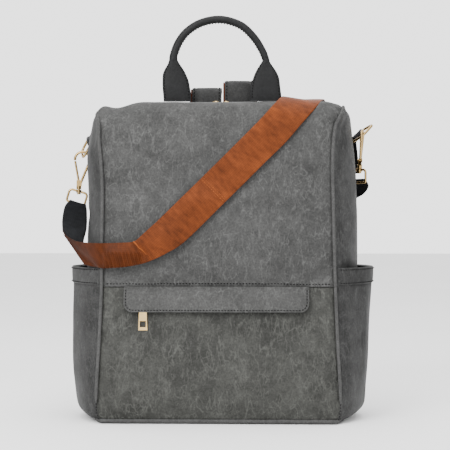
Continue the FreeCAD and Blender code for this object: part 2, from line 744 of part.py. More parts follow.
def dring_tab(place, side, tail_end):
    """Leather tab folded round the D-ring's bar, with a tail down the back seam."""
    half = 10.0
    roll = Part.makeCylinder(3.6, 2 * half, Vector(-half, 0, 0), Vector(1, 0, 0))
    shank = Part.makeBox(2 * half, 3.0, 13.0, Vector(-half, -1.5, 0))
    bore = Part.makeCylinder(RING_WIRE + 0.25, 2 * half + 4, Vector(-half - 2, 0, 0), Vector(1, 0, 0))
    head = placed(roll.fuse(shank).cut(bore), place.bar_centre, place.bar_axis, -place.ring_axis)
    fold = Vector(*place.bar_centre) - place.ring_axis * 8.0
    top = Vector(158.5 * side, 71.5, fold.z)
    tail = ribbon([top, (top + tail_end) * 0.5, tail_end], Vector(0.85 * side, -0.5, 0), 12.0, 2.4)
    return head.fuse(tail).cut(dring(place, 0.25))


def hook_frame(place):
    """Snap hook in its own axes: rivet at the origin, eye above it, swivel barrel below."""
    eye = Vector(HOOK_EYE_X, 0, HOOK_EYE_Z)
    start = Vector(2.2, 0, -2.0)
    reach = eye - start
    tangent_angle = math.acos(HOOK_EYE_R / reach.Length)
    towards = math.atan2(-reach.z, -reach.x)
    angle = towards + tangent_angle
    touch = eye + Vector(math.cos(angle), 0, math.sin(angle)) * HOOK_EYE_R
    spine = bar(start, touch, HOOK_WIRE)
    nose_angle = math.radians(186)
    section = Part.Face(Part.Wire(Part.makeCircle(HOOK_WIRE, touch, touch - start)))
    sweep = math.degrees(nose_angle - angle)
    crook = section.revolve(eye, Vector(0, -1, 0), sweep)
    cheek = Part.makeBox(6.4, 4.4, 7.4, Vector(-2.6, -2.2, -5.4))
    slot = Part.makeBox(7.0, 2.2, 12.0, Vector(-4.4, -1.1, -2.6))
    barrel = Part.makeCylinder(3.0, 4.0, Vector(0, 0, -9.2), Vector(0, 0, 1))
    pin = Part.makeCylinder(1.5, 7.6, Vector(0, 0, -15.0), Vector(0, 0, 1))
    head = Part.makeCylinder(2.5, 1.4, Vector(0, 0, -15.4), Vector(0, 0, 1))
    rivet_hole = Part.makeCylinder(0.85, 6.0, Vector(0, -3.0, 0), Vector(0, 1, 0))
    body = spine.fuse(cheek).cut(slot).fuse([crook, barrel, pin, head]).cut(rivet_hole)
    return placed(body, place.rivet, place.hook_across, place.hook_up)


def hook_gate(place):
    """Spring gate: a round finger from the rivet up to the hook's nose."""
    nose_angle = math.radians(186)
    nose_x = HOOK_EYE_X + HOOK_EYE_R * math.cos(nose_angle)
    nose = Vector(nose_x, 0, HOOK_EYE_Z + HOOK_EYE_R * math.sin(nose_angle))
    tip = nose * ((nose.Length - 1.0) / nose.Length)
    finger = bar(tip * 0.09, tip, 1.35)
    knuckle = Part.makeCylinder(2.0, 1.9, Vector(0, -0.95, 0), Vector(0, 1, 0))
    neck = Part.makeBox(1.9, 1.9, 4.0, Vector(-0.95, -0.95, 0))
    bore = Part.makeCylinder(0.85, 6.0, Vector(0, -3.0, 0), Vector(0, 1, 0))
    shape = finger.fuse([knuckle, neck])
    trim = Part.makeBox(12, 4, 3.2, Vector(-6, 0.95, -2.4))
    shape = shape.cut(trim).cut(trim.mirror(Vector(0, 0, 0), Vector(0, 1, 0))).cut(bore)
    return placed(shape, place.rivet, place.hook_across, place.hook_up)


def hook_rivet(place):
    shank = Part.makeCylinder(0.8, 4.6, Vector(0, -2.3, 0), Vector(0, 1, 0))
    caps = [Part.makeCylinder(1.7, 0.6, Vector(0, y, 0), Vector(0, 1, 0)) for y in (-2.85, 2.25)]
    return placed(shank.fuse(caps), place.rivet, place.hook_across, place.hook_up)


def swivel_loop(place):
    """Loop that the strap is sewn to, with a bored boss for the hook's swivel pin."""
    boss_centre = Vector(*place.rivet) - place.hook_up * 11.7
    half = LOOP_INSIDE / 2 + LOOP_WIRE
    deep = LOOP_DEPTH + LOOP_WIRE
    points = [Vector(-half, 0, 0), Vector(half, 0, 0), Vector(half, 0, -deep), Vector(-half, 0, -deep)]
    ring = bent_wire(points, [4.0, 4.0, 2.5, 2.5], LOOP_WIRE, True)
    ring = placed(ring, tuple(boss_centre), place.loop_across, Vector(0, 0, 1))
    top = boss_centre - place.hook_up * 1.9
    boss = Part.makeCylinder(3.3, 3.8, top, place.hook_up)
    bore = Part.makeCylinder(1.58, 8.0, boss_centre - place.hook_up * 4.0, place.hook_up)
    room = Part.makeCylinder(2.9, 3.4, boss_centre - place.hook_up * 5.4, place.hook_up)
    return ring.fuse(boss).cut(room).cut(bore)


# ---- build -------------------------------------------------------------------------------------
def main():
    os.makedirs("parts", exist_ok=True)
    export(front_upper_panel(), "front_upper_panel")
    export(front_pocket_panel(), "front_pocket_panel")
    export(front_pocket_lining(), "front_pocket_lining")
    export(back_panel(), "back_panel")
    export(base_panel(), "base_panel")
    export(base_board(), "base_board")
    export(main_lining(), "main_lining")
    for name, build in (
        ("side_gusset", side_gusset),
        ("piping", piping),
        ("side_pocket", side_pocket),
        ("pocket_band", pocket_band),
    ):
        right = build()
        export(right, name + "_right")
        export(mirror_x(right), name + "_left")

    export(front_flap(), "front_flap")
    export(zip_tapes(FRONT_ZIP_HALF, 3.0, on_front_zip), "front_zip_tapes")
    export(zip_coil(FRONT_ZIP_HALF, on_front_zip), "front_zip_coil")
    slider = on_front_zip(zip_slider())
    puller = on_front_zip(zip_puller(27.0, 8.6, 10.4, (-23.4, -16.4, 3.5)))
    slider.translate(Vector(-84.0, 0, 0))
    puller.translate(Vector(-84.0, -5.1, 0))
    export(slider, "front_zip_slider")
    export(puller, "front_zip_puller")

    export(zip_tapes(MAIN_ZIP_HALF, 6.4, on_main_zip), "main_zip_tapes")
    export(zip_coil(MAIN_ZIP_HALF, on_main_zip), "main_zip_coil")
    for side, name in ((-1, "left"), (1, "right")):
        slider = on_main_zip(zip_slider())
        slider.translate(Vector(side * 6.2, 0, 0))
        export(slider, "main_zip_slider_" + name)
        pull = zip_puller(30.0, 5.4, 6.6, (-26.0, -20.0, 1.9))
        pull.rotate(Vector(0, 0, 0), Vector(1, 0, 0), -86)
        pull.translate(Vector(side * 6.2, MAIN_ZIP_Y, HEIGHT - 2.4 + 5.1))
        export(pull, "main_zip_puller_" + name)
    export(zip_end_tabs(), "zip_end_tabs")

    export(grab_handle(), "grab_handle")
    export(handle_arch(HANDLE_R - 1.6), "handle_core")
    for x, half, name in zip(PADDLE_X, PADDLE_HALF, ("left", "right")):
        export(handle_anchor(x, half), "handle_anchor_" + name)

    straps = {"left": (-18.2, 22.0, -92.0, -118.0), "right": (22.6, 30.0, 92.0, 118.0)}
    for name, (x, rise, foot_x, ring_x) in straps.items():
        export(backpack_strap(x, rise, foot_x), "backpack_strap_" + name)
        band, start, end = webbing(foot_x, ring_x)
        export(band, "backpack_webbing_" + name)
        export(adjuster(start, end), "adjuster_" + name)
        ring = rectangle_ring(RING_INSIDE, 8.0, RING_WIRE)
        ring.translate(Vector(ring_x, back_y(40) + 6.0, 42 + 4.0 + RING_WIRE))
        export(ring, "webbing_ring_" + name)
        export(lower_tab(ring_x), "lower_tab_" + name)

    export(strap_from_rows(STRAP_ROWS, STRAP_THICK), "shoulder_strap")
    export(strap_from_rows(STRAP_END_LEFT, STRAP_THICK), "strap_end_left")
    export(strap_from_rows(STRAP_END_RIGHT, STRAP_THICK), "strap_end_right")
    tails = {"left": Vector(-158.0, 73.0, 290.0), "right": Vector(163.0, 70.5, 289.0)}
    for name, place, side in (("left", LEFT, -1), ("right", RIGHT, 1)):
        export(dring(place), "dring_" + name)
        export(dring_tab(place, side, tails[name]), "dring_tab_" + name)
        export(hook_frame(place), "hook_frame_" + name)
        export(hook_gate(place), "hook_gate_" + name)
        export(hook_rivet(place), "hook_rivet_" + name)
        export(swivel_loop(place), "swivel_loop_" + name)


main()
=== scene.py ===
"""Looks of the diaper bag: leather shell, piping, pockets, straps, stitching and gold hardware.

Shapes are worked out in millimetres, as on a cutting pattern, and new_piece() turns them into metres.
+Z is up, the front of the bag faces -Y, and the origin is the centre of the base on the floor.
"""

import math

import bpy
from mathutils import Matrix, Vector, noise


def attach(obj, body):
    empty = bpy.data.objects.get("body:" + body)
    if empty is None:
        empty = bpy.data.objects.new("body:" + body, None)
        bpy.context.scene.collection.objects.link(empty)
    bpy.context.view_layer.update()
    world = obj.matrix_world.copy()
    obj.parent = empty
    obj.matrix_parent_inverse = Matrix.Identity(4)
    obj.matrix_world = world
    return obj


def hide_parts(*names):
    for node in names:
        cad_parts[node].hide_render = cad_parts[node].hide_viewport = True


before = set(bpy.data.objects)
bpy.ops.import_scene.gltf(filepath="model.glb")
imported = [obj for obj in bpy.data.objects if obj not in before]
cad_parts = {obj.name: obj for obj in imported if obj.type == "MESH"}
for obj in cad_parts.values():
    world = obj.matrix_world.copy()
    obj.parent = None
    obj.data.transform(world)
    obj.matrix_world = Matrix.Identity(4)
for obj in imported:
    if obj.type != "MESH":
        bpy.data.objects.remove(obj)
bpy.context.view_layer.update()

MM = 0.001

# ---- pattern of the shell ----------------------------------------------------------------------
HEIGHT = 372.0
FOOT_Z = 4.0
PIPING_R = 2.0
FRONT_ROLL_R = 27.0
BACK_ROLL_R = 9.0
TOP_BACK_Y = 61.0
FRONT_SEAM_Z = 156.0
ZIP_LOW_Z = 129.4
ZIP_HIGH_Z = 138.6
ZIP_HALF = 101.0
FLAP_CENTRE_X = -2.0
POCKET_RIM_Z = 178.0
POCKET_BAND = 20.0
POCKET_OUT = 3.4
POUCH_LEATHER = 1.8
RIM_LEATHER = 3.0
STRAP_THICK = 1.5
MAIN_ZIP_Y = 37.0
MAIN_SLOT_HALF = 128.0
MAIN_ZIP_HALF = 127.0
FRONT_ZIP_Z = 134.0
FRONT_ZIP_HALF = 98.5
CORNER_DROOP = 7.5             # the top corners hang this much lower than the middle

# Each station is (height, value); values between stations follow a smooth curve.
FRONT_HALF_WIDTH = [
    (0, 136), (20, 139), (100, 135.3), (170, 132.8), (240, 131.2), (300, 130.3),
    (338, 132.8), (352, 136.6), (362, 141.5), (372, 144),
]
LEFT_EXTRA = [
    (150, 0), (200, 1.4), (262, 2.4), (300, 4.8), (320, 6.0),
    (338, 5.0), (352, 3.0), (362, 1.4), (372, 0.5),
]
FRONT_Y = [(0, -69), (20, -73), (100, -70), (157, -65), (250, -58), (345, -50)]
BACK_Y = [(0, 69), (20, 72), (120, 71), (250, 68), (345, 64), (372, 62)]
BACK_HALF_WIDTH = [(0, 140), (20, 147), (120, 151), (250, 152), (340, 151), (372, 151)]
SIDE_BULGE = [(0, 8), (20, 13), (100, 17), (200, 18.5), (285, 17.5), (340, 12), (362, 7), (372, 3)]
POCKET_BULGE = [(4, 15.5), (9, 21.5), (16, 24.5), (40, 26.5), (76, 29), (136, 32), (178, 34)]


def curve_value(stations, at):
    """Catmull-Rom value through (position, value) stations, held at the ends."""
    if at <= stations[0][0]:
        return float(stations[0][1])
    if at >= stations[-1][0]:
        return float(stations[-1][1])
    i = max(k for k in range(len(stations) - 1) if stations[k][0] <= at)
    x1, y1 = stations[i]
    x2, y2 = stations[i + 1]
    x0, y0 = stations[max(i - 1, 0)]
    x3, y3 = stations[min(i + 2, len(stations) - 1)]
    slope1 = (y2 - y0) / (x2 - x0)
    slope2 = (y3 - y1) / (x3 - x1)
    span = x2 - x1
    t = (at - x1) / span
    h1 = 2 * t**3 - 3 * t**2 + 1
    h2 = t**3 - 2 * t**2 + t
    h3 = -2 * t**3 + 3 * t**2
    h4 = t**3 - t**2
    return h1 * y1 + h2 * span * slope1 + h3 * y2 + h4 * span * slope2


def smooth(low, high, value):
    t = min(max((value - low) / (high - low), 0.0), 1.0)
    return t * t * (3 - 2 * t)


def steps(start, end, count):
    return [start + (end - start) * k / (count - 1) for k in range(count)]


def front_half(z):
    return curve_value(FRONT_HALF_WIDTH, z)


def front_y(z):
    roll_start = HEIGHT - FRONT_ROLL_R
    if z <= roll_start:
        return curve_value(FRONT_Y, z)
    rise = min(z - roll_start, FRONT_ROLL_R)
    return FRONT_Y[-1][1] + FRONT_ROLL_R - math.sqrt(max(FRONT_ROLL_R**2 - rise**2, 0.0))


def back_y(z):
    return curve_value(BACK_Y, z)


def left_extra(z):
    """How much further out the left front edge stands than the right one."""
    return curve_value(LEFT_EXTRA, z)


def back_half(z):
    return curve_value(BACK_HALF_WIDTH, z)


def top_half(y):
    start = front_y(HEIGHT)
    t = max(0.0, (y - start) / (TOP_BACK_Y - start))
    return front_half(HEIGHT) + (back_half(HEIGHT) - front_half(HEIGHT)) * t


def top_z(y):
    """Height of the top at a depth: flat, then rounded over the back edge."""
    over = max(0.0, y - (TOP_BACK_Y - BACK_ROLL_R + 1))
    return HEIGHT - 0.8 - BACK_ROLL_R + math.sqrt(max(BACK_ROLL_R**2 - over**2, 1.0)) - 0.02 * (y + 23)


def droop(x, z):
    """How far a point near a top corner hangs down."""
    if x > 0:
        across = 0.75 * smooth(118, 150, x)
    else:
        across = smooth(86, 126, -x) - 0.36 * math.exp(-(((x + 135) / 5) ** 2)) + 0.4 * smooth(138, 146, -x)
    return CORNER_DROOP * across * smooth(300, 366, z)


def side_x(z, t, bulge):
    base = front_half(z) + (back_half(z) - front_half(z)) * t
    return base + bulge * math.sin(math.pi * t) ** 0.75


# ---- meshes ------------------------------------------------------------------------------------
def new_piece(name, points, faces, material, body="bag", uv=None):
    """Mesh object from points in millimetres, smooth-shaded, riding on a CAD body."""
    mesh = bpy.data.meshes.new(name)
    mesh.from_pydata([tuple(p * MM) for p in points], [], faces)
    if uv is not None:
        layer = mesh.uv_layers.new(name="UVMap")
        for loop in mesh.loops:
            layer.data[loop.index].uv = uv[loop.vertex_index]
    mesh.polygons.foreach_set("use_smooth", [True] * len(mesh.polygons))
    mesh.materials.append(material)
    piece = bpy.data.objects.new(name, mesh)
    bpy.context.collection.objects.link(piece)
    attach(piece, body)
    return piece


def grid_faces(rows, cols):
    faces = []
    for i in range(rows - 1):
        for j in range(cols - 1):
            a = i * cols + j
            faces.append((a, a + 1, a + cols + 1, a + cols))
    return faces


def grid_normal(grid, i, j):
    rows, cols = len(grid), len(grid[0])
    along = grid[min(i + 1, rows - 1)][j] - grid[max(i - 1, 0)][j]
    across = grid[i][min(j + 1, cols - 1)] - grid[i][max(j - 1, 0)]
    return across.cross(along).normalized()


def sheet_faces(rows, cols, front_first=True):
    """Faces of a front skin, a back skin numbered after it, and the strip that closes their rim."""
    count = rows * cols
    front = grid_faces(rows, cols)
    faces = front + [tuple(k + count for k in reversed(face)) for face in front]
    rim = [i * cols for i in range(rows)] + [(rows - 1) * cols + j for j in range(1, cols)]
    rim += [i * cols + cols - 1 for i in range(rows - 2, -1, -1)] + list(range(cols - 2, -1, -1))
    for a, b in zip(rim, rim[1:]):
        faces.append((a, b, b + count, a + count) if front_first else (a, a + count, b + count, b))
    return faces


def thick_grid(grid, thickness):
    """Points and faces of a sheet whose front is the grid."""
    rows, cols = len(grid), len(grid[0])
    front = [p for row in grid for p in row]
    back = []
    for i in range(rows):
        for j in range(cols):
            back.append(grid[i][j] - grid_normal(grid, i, j) * thickness)
    return front + back, sheet_faces(rows, cols)


def soft_edges(piece, width, segments=3):
    """Bevels the piece's sharp edges, so that they catch the light."""
    bevel = piece.modifiers.new("bevel", "BEVEL")
    bevel.width = width * MM
    bevel.segments = segments
    bevel.limit_method = "ANGLE"
    bevel.angle_limit = math.radians(40)


def smooth_line(points, per_span, closed=False):
    """Catmull-Rom line through the points."""
    count = len(points)
    line = []
    spans = count if closed else count - 1
    for k in range(spans):
        if closed:
            p0, p1, p2, p3 = (points[(k + d) % count] for d in (-1, 0, 1, 2))
        else:
            p1, p2 = points[k], points[k + 1]
            p0 = points[k - 1] if k > 0 else p1 * 2 - p2
            p3 = points[k + 2] if k + 2 < count else p2 * 2 - p1
        for s in range(per_span):
            t = s / per_span
            a = p1 * 2
            b = p2 - p0
            c = p0 * 2 - p1 * 5 + p2 * 4 - p3
            d = p1 * 3 - p0 - p2 * 3 + p3
            line.append((a + b * t + c * t * t + d * t**3) * 0.5)
    if not closed:
        line.append(points[-1].copy())
    return line


def even_line(line, pitch):
    """Points at an even pitch along a line."""
    lengths = [0.0]
    for a, b in zip(line, line[1:]):
        lengths.append(lengths[-1] + (b - a).length)
    count = max(2, round(lengths[-1] / pitch) + 1)
    result, k = [], 0
    for target in steps(0.0, lengths[-1], count):
        while k < len(line) - 2 and lengths[k + 1] < target:
            k += 1
        share = (target - lengths[k]) / max(lengths[k + 1] - lengths[k], 1e-9)
        result.append(line[k].lerp(line[k + 1], min(max(share, 0.0), 1.0)))
    return result


def tube_mesh(line, radius, sides):
    """Points and faces of a round tube; radius may be a function of the share along it."""
    points, faces = [], []
    count = len(line)
    side = line[1] - line[0]
    side = side.normalized().orthogonal().normalized()
    for k, p in enumerate(line):
        tangent = (line[min(k + 1, count - 1)] - line[max(k - 1, 0)]).normalized()
        side = (side - tangent * side.dot(tangent)).normalized()
        up = tangent.cross(side)
        r = radius(k / (count - 1)) if callable(radius) else radius
        for s in range(sides):
            angle = 2 * math.pi * s / sides
            points.append(p + side * (r * math.cos(angle)) + up * (r * math.sin(angle)))
    for k in range(count - 1):
        for s in range(sides):
            a, b = k * sides + s, k * sides + (s + 1) % sides
            faces.append((a, b, b + sides, a + sides))
    faces.append(tuple(reversed(range(sides))))
    faces.append(tuple((count - 1) * sides + s for s in range(sides)))
    return points, faces


def join_meshes(parts):
    points, faces = [], []
    for more_points, more_faces in parts:
        first = len(points)
        points += more_points
        faces += [tuple(k + first for k in face) for face in more_faces]
    return points, faces


def stitch_row(line, out, pitch=3.5, length=2.0, width=0.5, sink=0.1):
    """A row of thread stitches along a line; out(point) gives the way off the surface."""
    parts = []
    spots = even_line(line, pitch)
    for a, b in zip(spots, spots[1:]):
        way = (b - a).normalized()
        middle = (a + b) * 0.5
        off = out(middle)
        start, end = middle - way * length / 2, middle + way * length / 2
        run = []
        for s in (0.0, 0.25, 0.5, 0.75, 1.0):
            run.append(start.lerp(end, s) + off * (width * math.sin(math.pi * s) - sink))
        parts.append(tube_mesh(run, lambda s: width * (0.55 + 0.45 * math.sin(math.pi * s)), 6))
    return join_meshes(parts)


# ---- materials ---------------------------------------------------------------------------------
class Nodes:
    """A new material with a Principled shader, and short ways to add nodes to it."""

    def __init__(self, name, rough=0.6, metal=0.0, specular=0.5, sheen=0.0):
        self.material = bpy.data.materials.new(name)
        self.material.use_nodes = True
        self.tree = self.material.node_tree
        self.shader = self.tree.nodes["Principled BSDF"]
        self.shader.inputs["Roughness"].default_value = rough
        self.shader.inputs["Metallic"].default_value = metal
        self.shader.inputs["Specular IOR Level"].default_value = specular
        self.shader.inputs["Sheen Weight"].default_value = sheen
        self.shader.inputs["Sheen Roughness"].default_value = 0.4

    def add(self, kind, **values):
        node = self.tree.nodes.new(kind)
        for name, value in values.items():
            setattr(node, name, value)
        return node

    def link(self, out, into):
        self.tree.links.new(out, into)

    def place(self, source="Object", scale=(1, 1, 1), turn=(0, 0, 0)):
        coords = self.add("ShaderNodeTexCoord")
        mapping = self.add("ShaderNodeMapping")
        mapping.inputs["Scale"].default_value = scale
        mapping.inputs["Rotation"].default_value = turn
        self.link(coords.outputs[source], mapping.inputs["Vector"])
        return mapping.outputs["Vector"]

    def noise(self, vector, scale, detail=3.0, rough=0.5, distortion=0.0):
        node = self.add("ShaderNodeTexNoise")
        node.inputs["Scale"].default_value = scale
        node.inputs["Detail"].default_value = detail
        node.inputs["Roughness"].default_value = rough
        node.inputs["Distortion"].default_value = distortion
        self.link(vector, node.inputs["Vector"])
        return node

    def ramp(self, value, stops):
        node = self.add("ShaderNodeValToRGB")
        ramp = node.color_ramp
        while len(ramp.elements) < len(stops):
            ramp.elements.new(0.5)
        for element, (place, colour) in zip(ramp.elements, stops):
            element.position = place
            element.color = (*colour, 1) if hasattr(colour, "__len__") else (colour, colour, colour, 1)
        self.link(value, node.inputs["Fac"])
        return node.outputs["Color"]

    def mix(self, factor, first, second, mode="MIX"):
        node = self.add("ShaderNodeMix", data_type="RGBA", blend_type=mode)
        for value, socket in ((factor, node.inputs[0]), (first, node.inputs[6]), (second, node.inputs[7])):
            if hasattr(value, "links"):
                self.link(value, socket)
            elif hasattr(value, "__len__"):
                socket.default_value = (*value, 1)
            else:
                socket.default_value = value
        return node.outputs[2]

    def math(self, operation, a, b=0.0):
        node = self.add("ShaderNodeMath", operation=operation)
        for value, socket in ((a, node.inputs[0]), (b, node.inputs[1])):
            if hasattr(value, "links"):
                self.link(value, socket)
            else:
                socket.default_value = value
        return node.outputs[0]

    def bump(self, height, strength, distance, under=None):
        node = self.add("ShaderNodeBump")
        node.inputs["Strength"].default_value = strength
        node.inputs["Distance"].default_value = distance
        self.link(height, node.inputs["Height"])
        if under is not None:
            self.link(under, node.inputs["Normal"])
        return node.outputs["Normal"]

    def finish(self, colour=None, rough=None, normal=None):
        for value, name in ((colour, "Base Color"), (rough, "Roughness"), (normal, "Normal")):
            if value is not None:
                self.link(value, self.shader.inputs[name])
        return self.material


def scaled(colour, factor):
    return tuple(c * factor for c in colour)


def leather(name, base, streak=1.0, contrast=1.0, gloss=0.08):
    """Distressed leather: cloudy tone, fine pale wisps where it has been rubbed, and a small grain."""
    n = Nodes(name, specular=gloss)
    where = n.place()
    clouds = n.noise(where, 15, 4, 0.55, 0.6)
    cloud_stops = [(0.32, 1 - 0.20 * contrast), (0.5, 1.0), (0.68, 1 + 0.16 * contrast)]
    cloud_tone = n.ramp(clouds.outputs["Fac"], cloud_stops)
    patches = n.noise(where, 62, 4, 0.65, 0.5)
    patch_tone = n.ramp(patches.outputs["Fac"], [(0.32, 1 - 0.20 * contrast), (0.68, 1 + 0.20 * contrast)])
    colour = n.mix(1.0, base, cloud_tone, "MULTIPLY")
    colour = n.mix(1.0, colour, patch_tone, "MULTIPLY")
    wisps = (
        (64, (0.7, 0.75, 0.0), 0.020, 0.56), (78, (-0.8, -0.7, 0.3), 0.022, 0.54),
        (104, (0.2, 1.5, 0.2), 0.028, 0.44), (150, (1.3, 0.2, 0.9), 0.036, 0.40),
    )
    for scale, turn, width, strength in wisps:
        lines = n.noise(n.place(scale=(1, 1, 0.40), turn=turn), scale, 2, 0.5, 0.35)
        gap = n.math("ABSOLUTE", n.math("SUBTRACT", lines.outputs["Fac"], 0.5))
        lit = n.ramp(gap, [(0.0, 1.0), (width * 0.5, 0.6), (width, 0.0)])
        patchy = n.noise(n.place(turn=turn), scale * 0.55, 2, 0.5)
        mask = n.ramp(patchy.outputs["Fac"], [(0.44, 0.0), (0.56, 1.0)])
        amount = n.math("MULTIPLY", n.mix(1.0, lit, mask, "MULTIPLY"), strength * streak)
        colour = n.mix(amount, colour, scaled(base, 1.9))
    fibres = n.noise(where, 430, 3, 0.7)
    fibre_tone = n.ramp(fibres.outputs["Fac"], [(0.35, 0.78), (0.65, 1.20)])
    colour = n.mix(1.0, colour, fibre_tone, "MULTIPLY")
    grain = n.add("ShaderNodeTexVoronoi")
    grain.inputs["Scale"].default_value = 850
    n.link(where, grain.inputs["Vector"])
    normal = n.bump(grain.outputs["Distance"], 0.16, 0.0004)
    normal = n.bump(patches.outputs["Fac"], 0.25, 0.0012, normal)
    rough = n.ramp(clouds.outputs["Fac"], [(0.3, 0.62), (0.7, 0.50)])
    return n.finish(colour, rough, normal)


def ribbon_cloth(name, base, rib_pitch, shine, burnish=None):
    """Woven tape: UVs are metres along and across. Fine ribs and thread noise.

    burnish, where given, lists (x + z in metres, tone) for a length that has darkened with handling."""
    n = Nodes(name, rough=0.5 if shine else 0.75, specular=0.07 if shine else 0.05, sheen=0.0)
    flat = n.place("UV")
    ribs = n.add("ShaderNodeTexWave", bands_direction="X")
    ribs.inputs["Scale"].default_value = 0.314 / rib_pitch / 2
    ribs.inputs["Distortion"].default_value = 0.4
    ribs.inputs["Detail"].default_value = 1.0
    n.link(flat, ribs.inputs["Vector"])
    warp = n.add("ShaderNodeTexWave", bands_direction="Y")
    warp.inputs["Scale"].default_value = 0.314 / (rib_pitch * 1.3) / 2
    n.link(flat, warp.inputs["Vector"])
    threads = n.mix(0.5, ribs.outputs["Fac"], warp.outputs["Fac"])
    tone = n.ramp(threads, [(0.0, 0.86), (1.0, 1.12)])
    colour = n.mix(1.0, base, tone, "MULTIPLY")
    drift = n.noise(n.place("UV", scale=(2.6, 1, 1)), 70, 4, 0.65)
    drift_tone = n.ramp(drift.outputs["Fac"], [(0.32, 0.66), (0.68, 1.28)])
    colour = n.mix(1.0, colour, drift_tone, "MULTIPLY")
    worn = n.noise(n.place(), 14, 3, 0.6)
    worn_tone = n.ramp(worn.outputs["Fac"], [(0.34, 0.70), (0.66, 1.26)])
    colour = n.mix(1.0, colour, worn_tone, "MULTIPLY")
    if burnish:
        low, high = burnish[0][0], burnish[-1][0]
        parts = n.add("ShaderNodeSeparateXYZ")
        n.link(n.place(), parts.inputs["Vector"])
        diagonal = n.math("ADD", parts.outputs["X"], parts.outputs["Z"])
        share = n.math("DIVIDE", n.math("SUBTRACT", diagonal, low), high - low)
        stops = [((at - low) / (high - low), tone) for at, tone in burnish]
        colour = n.mix(1.0, colour, n.ramp(share, stops), "MULTIPLY")
    normal = n.bump(threads, 0.25, 0.0003)
    return n.finish(colour, None, normal)


def metal(name, colour, rough, scratches=0.25):
    """Plated metal: faint tarnish and fine brushed scratches."""
    n = Nodes(name, rough=rough, metal=1.0)
    where = n.place()
    tarnish = n.noise(where, 180, 3, 0.6)
    tone = n.ramp(tarnish.outputs["Fac"], [(0.3, scaled(colour, 0.86)), (0.7, colour)])
    marks = n.noise(n.place(scale=(1, 1, 0.08)), 1400, 2, 0.5)
    dull = n.ramp(marks.outputs["Fac"], [(0.35, rough), (0.7, rough + scratches * 0.4)])
    return n.finish(tone, dull, n.bump(marks.outputs["Fac"], 0.05, 0.0001))


def woven(name, base, scale, rough=0.85, direction=(0, 0, 0)):
    """Plain cloth in the object's own axes: two crossing sets of threads."""
    n = Nodes(name, rough=rough, specular=0.08, sheen=0.03)
    where = n.place(turn=direction)
    parts = []
    for axis in "XZ":
        wave = n.add("ShaderNodeTexWave", bands_direction=axis)
        wave.inputs["Scale"].default_value = scale
        wave.inputs["Distortion"].default_value = 0.6
        n.link(where, wave.inputs["Vector"])
        parts.append(wave.outputs["Fac"])
    threads = n.mix(0.5, parts[0], parts[1])
    tone = n.ramp(threads, [(0.0, 0.8), (1.0, 1.15)])
    colour = n.mix(1.0, base, tone, "MULTIPLY")
    cloud = n.noise(where, 30, 3)
    colour = n.mix(1.0, colour, n.ramp(cloud.outputs["Fac"], [(0.3, 0.88), (0.7, 1.1)]), "MULTIPLY")
    return n.finish(colour, None, n.bump(threads, 0.3, 0.0003))


def moulded(name, base, rough):
    """Plastic or board: a fine speck in colour and surface."""
    n = Nodes(name, rough=rough, specular=0.2)
    speck = n.noise(n.place(), 700, 2)
    colour = n.mix(1.0, base, n.ramp(speck.outputs["Fac"], [(0.3, 0.9), (0.7, 1.08)]), "MULTIPLY")
    return n.finish(colour, None, n.bump(speck.outputs["Fac"], 0.1, 0.0002))


SHELL = leather("shell_leather", (0.0388, 0.0388, 0.0380))
LOWER = leather("lower_leather", (0.0312, 0.0316, 0.0290), streak=1.3, contrast=1.2)
SIDE = leather("side_leather", (0.0278, 0.0278, 0.0275), streak=1.0, contrast=1.4)
PIPING = leather("piping_leather", (0.0450, 0.0450, 0.0442), streak=0.3, contrast=0.5)
FLAP = leather("flap_leather", (0.0415, 0.0415, 0.0405), streak=0.7, contrast=0.7)
HANDLE = leather("handle_leather", (0.0070, 0.0072, 0.0076), streak=0.5, contrast=1.3, gloss=0.16)
BACKPACK = leather("backpack_leather", (0.0230, 0.0230, 0.0228), streak=0.5, contrast=0.8)
BLACK = leather("black_leather", (0.0052, 0.0052, 0.0056), streak=0.2, contrast=0.7)
THREAD = woven("thread", (0.0042, 0.0042, 0.0042), 900, 0.7)
STRAP_THREAD = woven("strap_thread", (0.21, 0.055, 0.012), 900, 0.7)
BURNISH = [(-0.02, 0.26), (0.04, 0.32), (0.075, 0.46), (0.108, 0.62), (0.1135, 1.0), (0.3, 1.0), (0.36, 1.15)]
STRAP = ribbon_cloth("strap_brown", (0.097, 0.0232, 0.0054), 0.0009, True, BURNISH)
STRAP_BACK = ribbon_cloth("strap_black", (0.0095, 0.0100, 0.0112), 0.0011, False)
TAN = woven("tan_lining", (0.080, 0.0165, 0.0040), 700)
LINING = woven("bag_lining", (0.070, 0.062, 0.052), 650)
TAPE = woven("zip_tape", (0.006, 0.006, 0.006), 800)
COIL = moulded("zip_coil", (0.005, 0.005, 0.005), 0.4)
GOLD = metal("pale_gold", (0.60, 0.42, 0.19), 0.12)
DEEP_GOLD = metal("deep_gold", (0.40, 0.27, 0.11), 0.10)
DARK_METAL = metal("dark_metal", (0.06, 0.06, 0.062), 0.35)
BOARD = moulded("base_board", (0.06, 0.055, 0.045), 0.8)


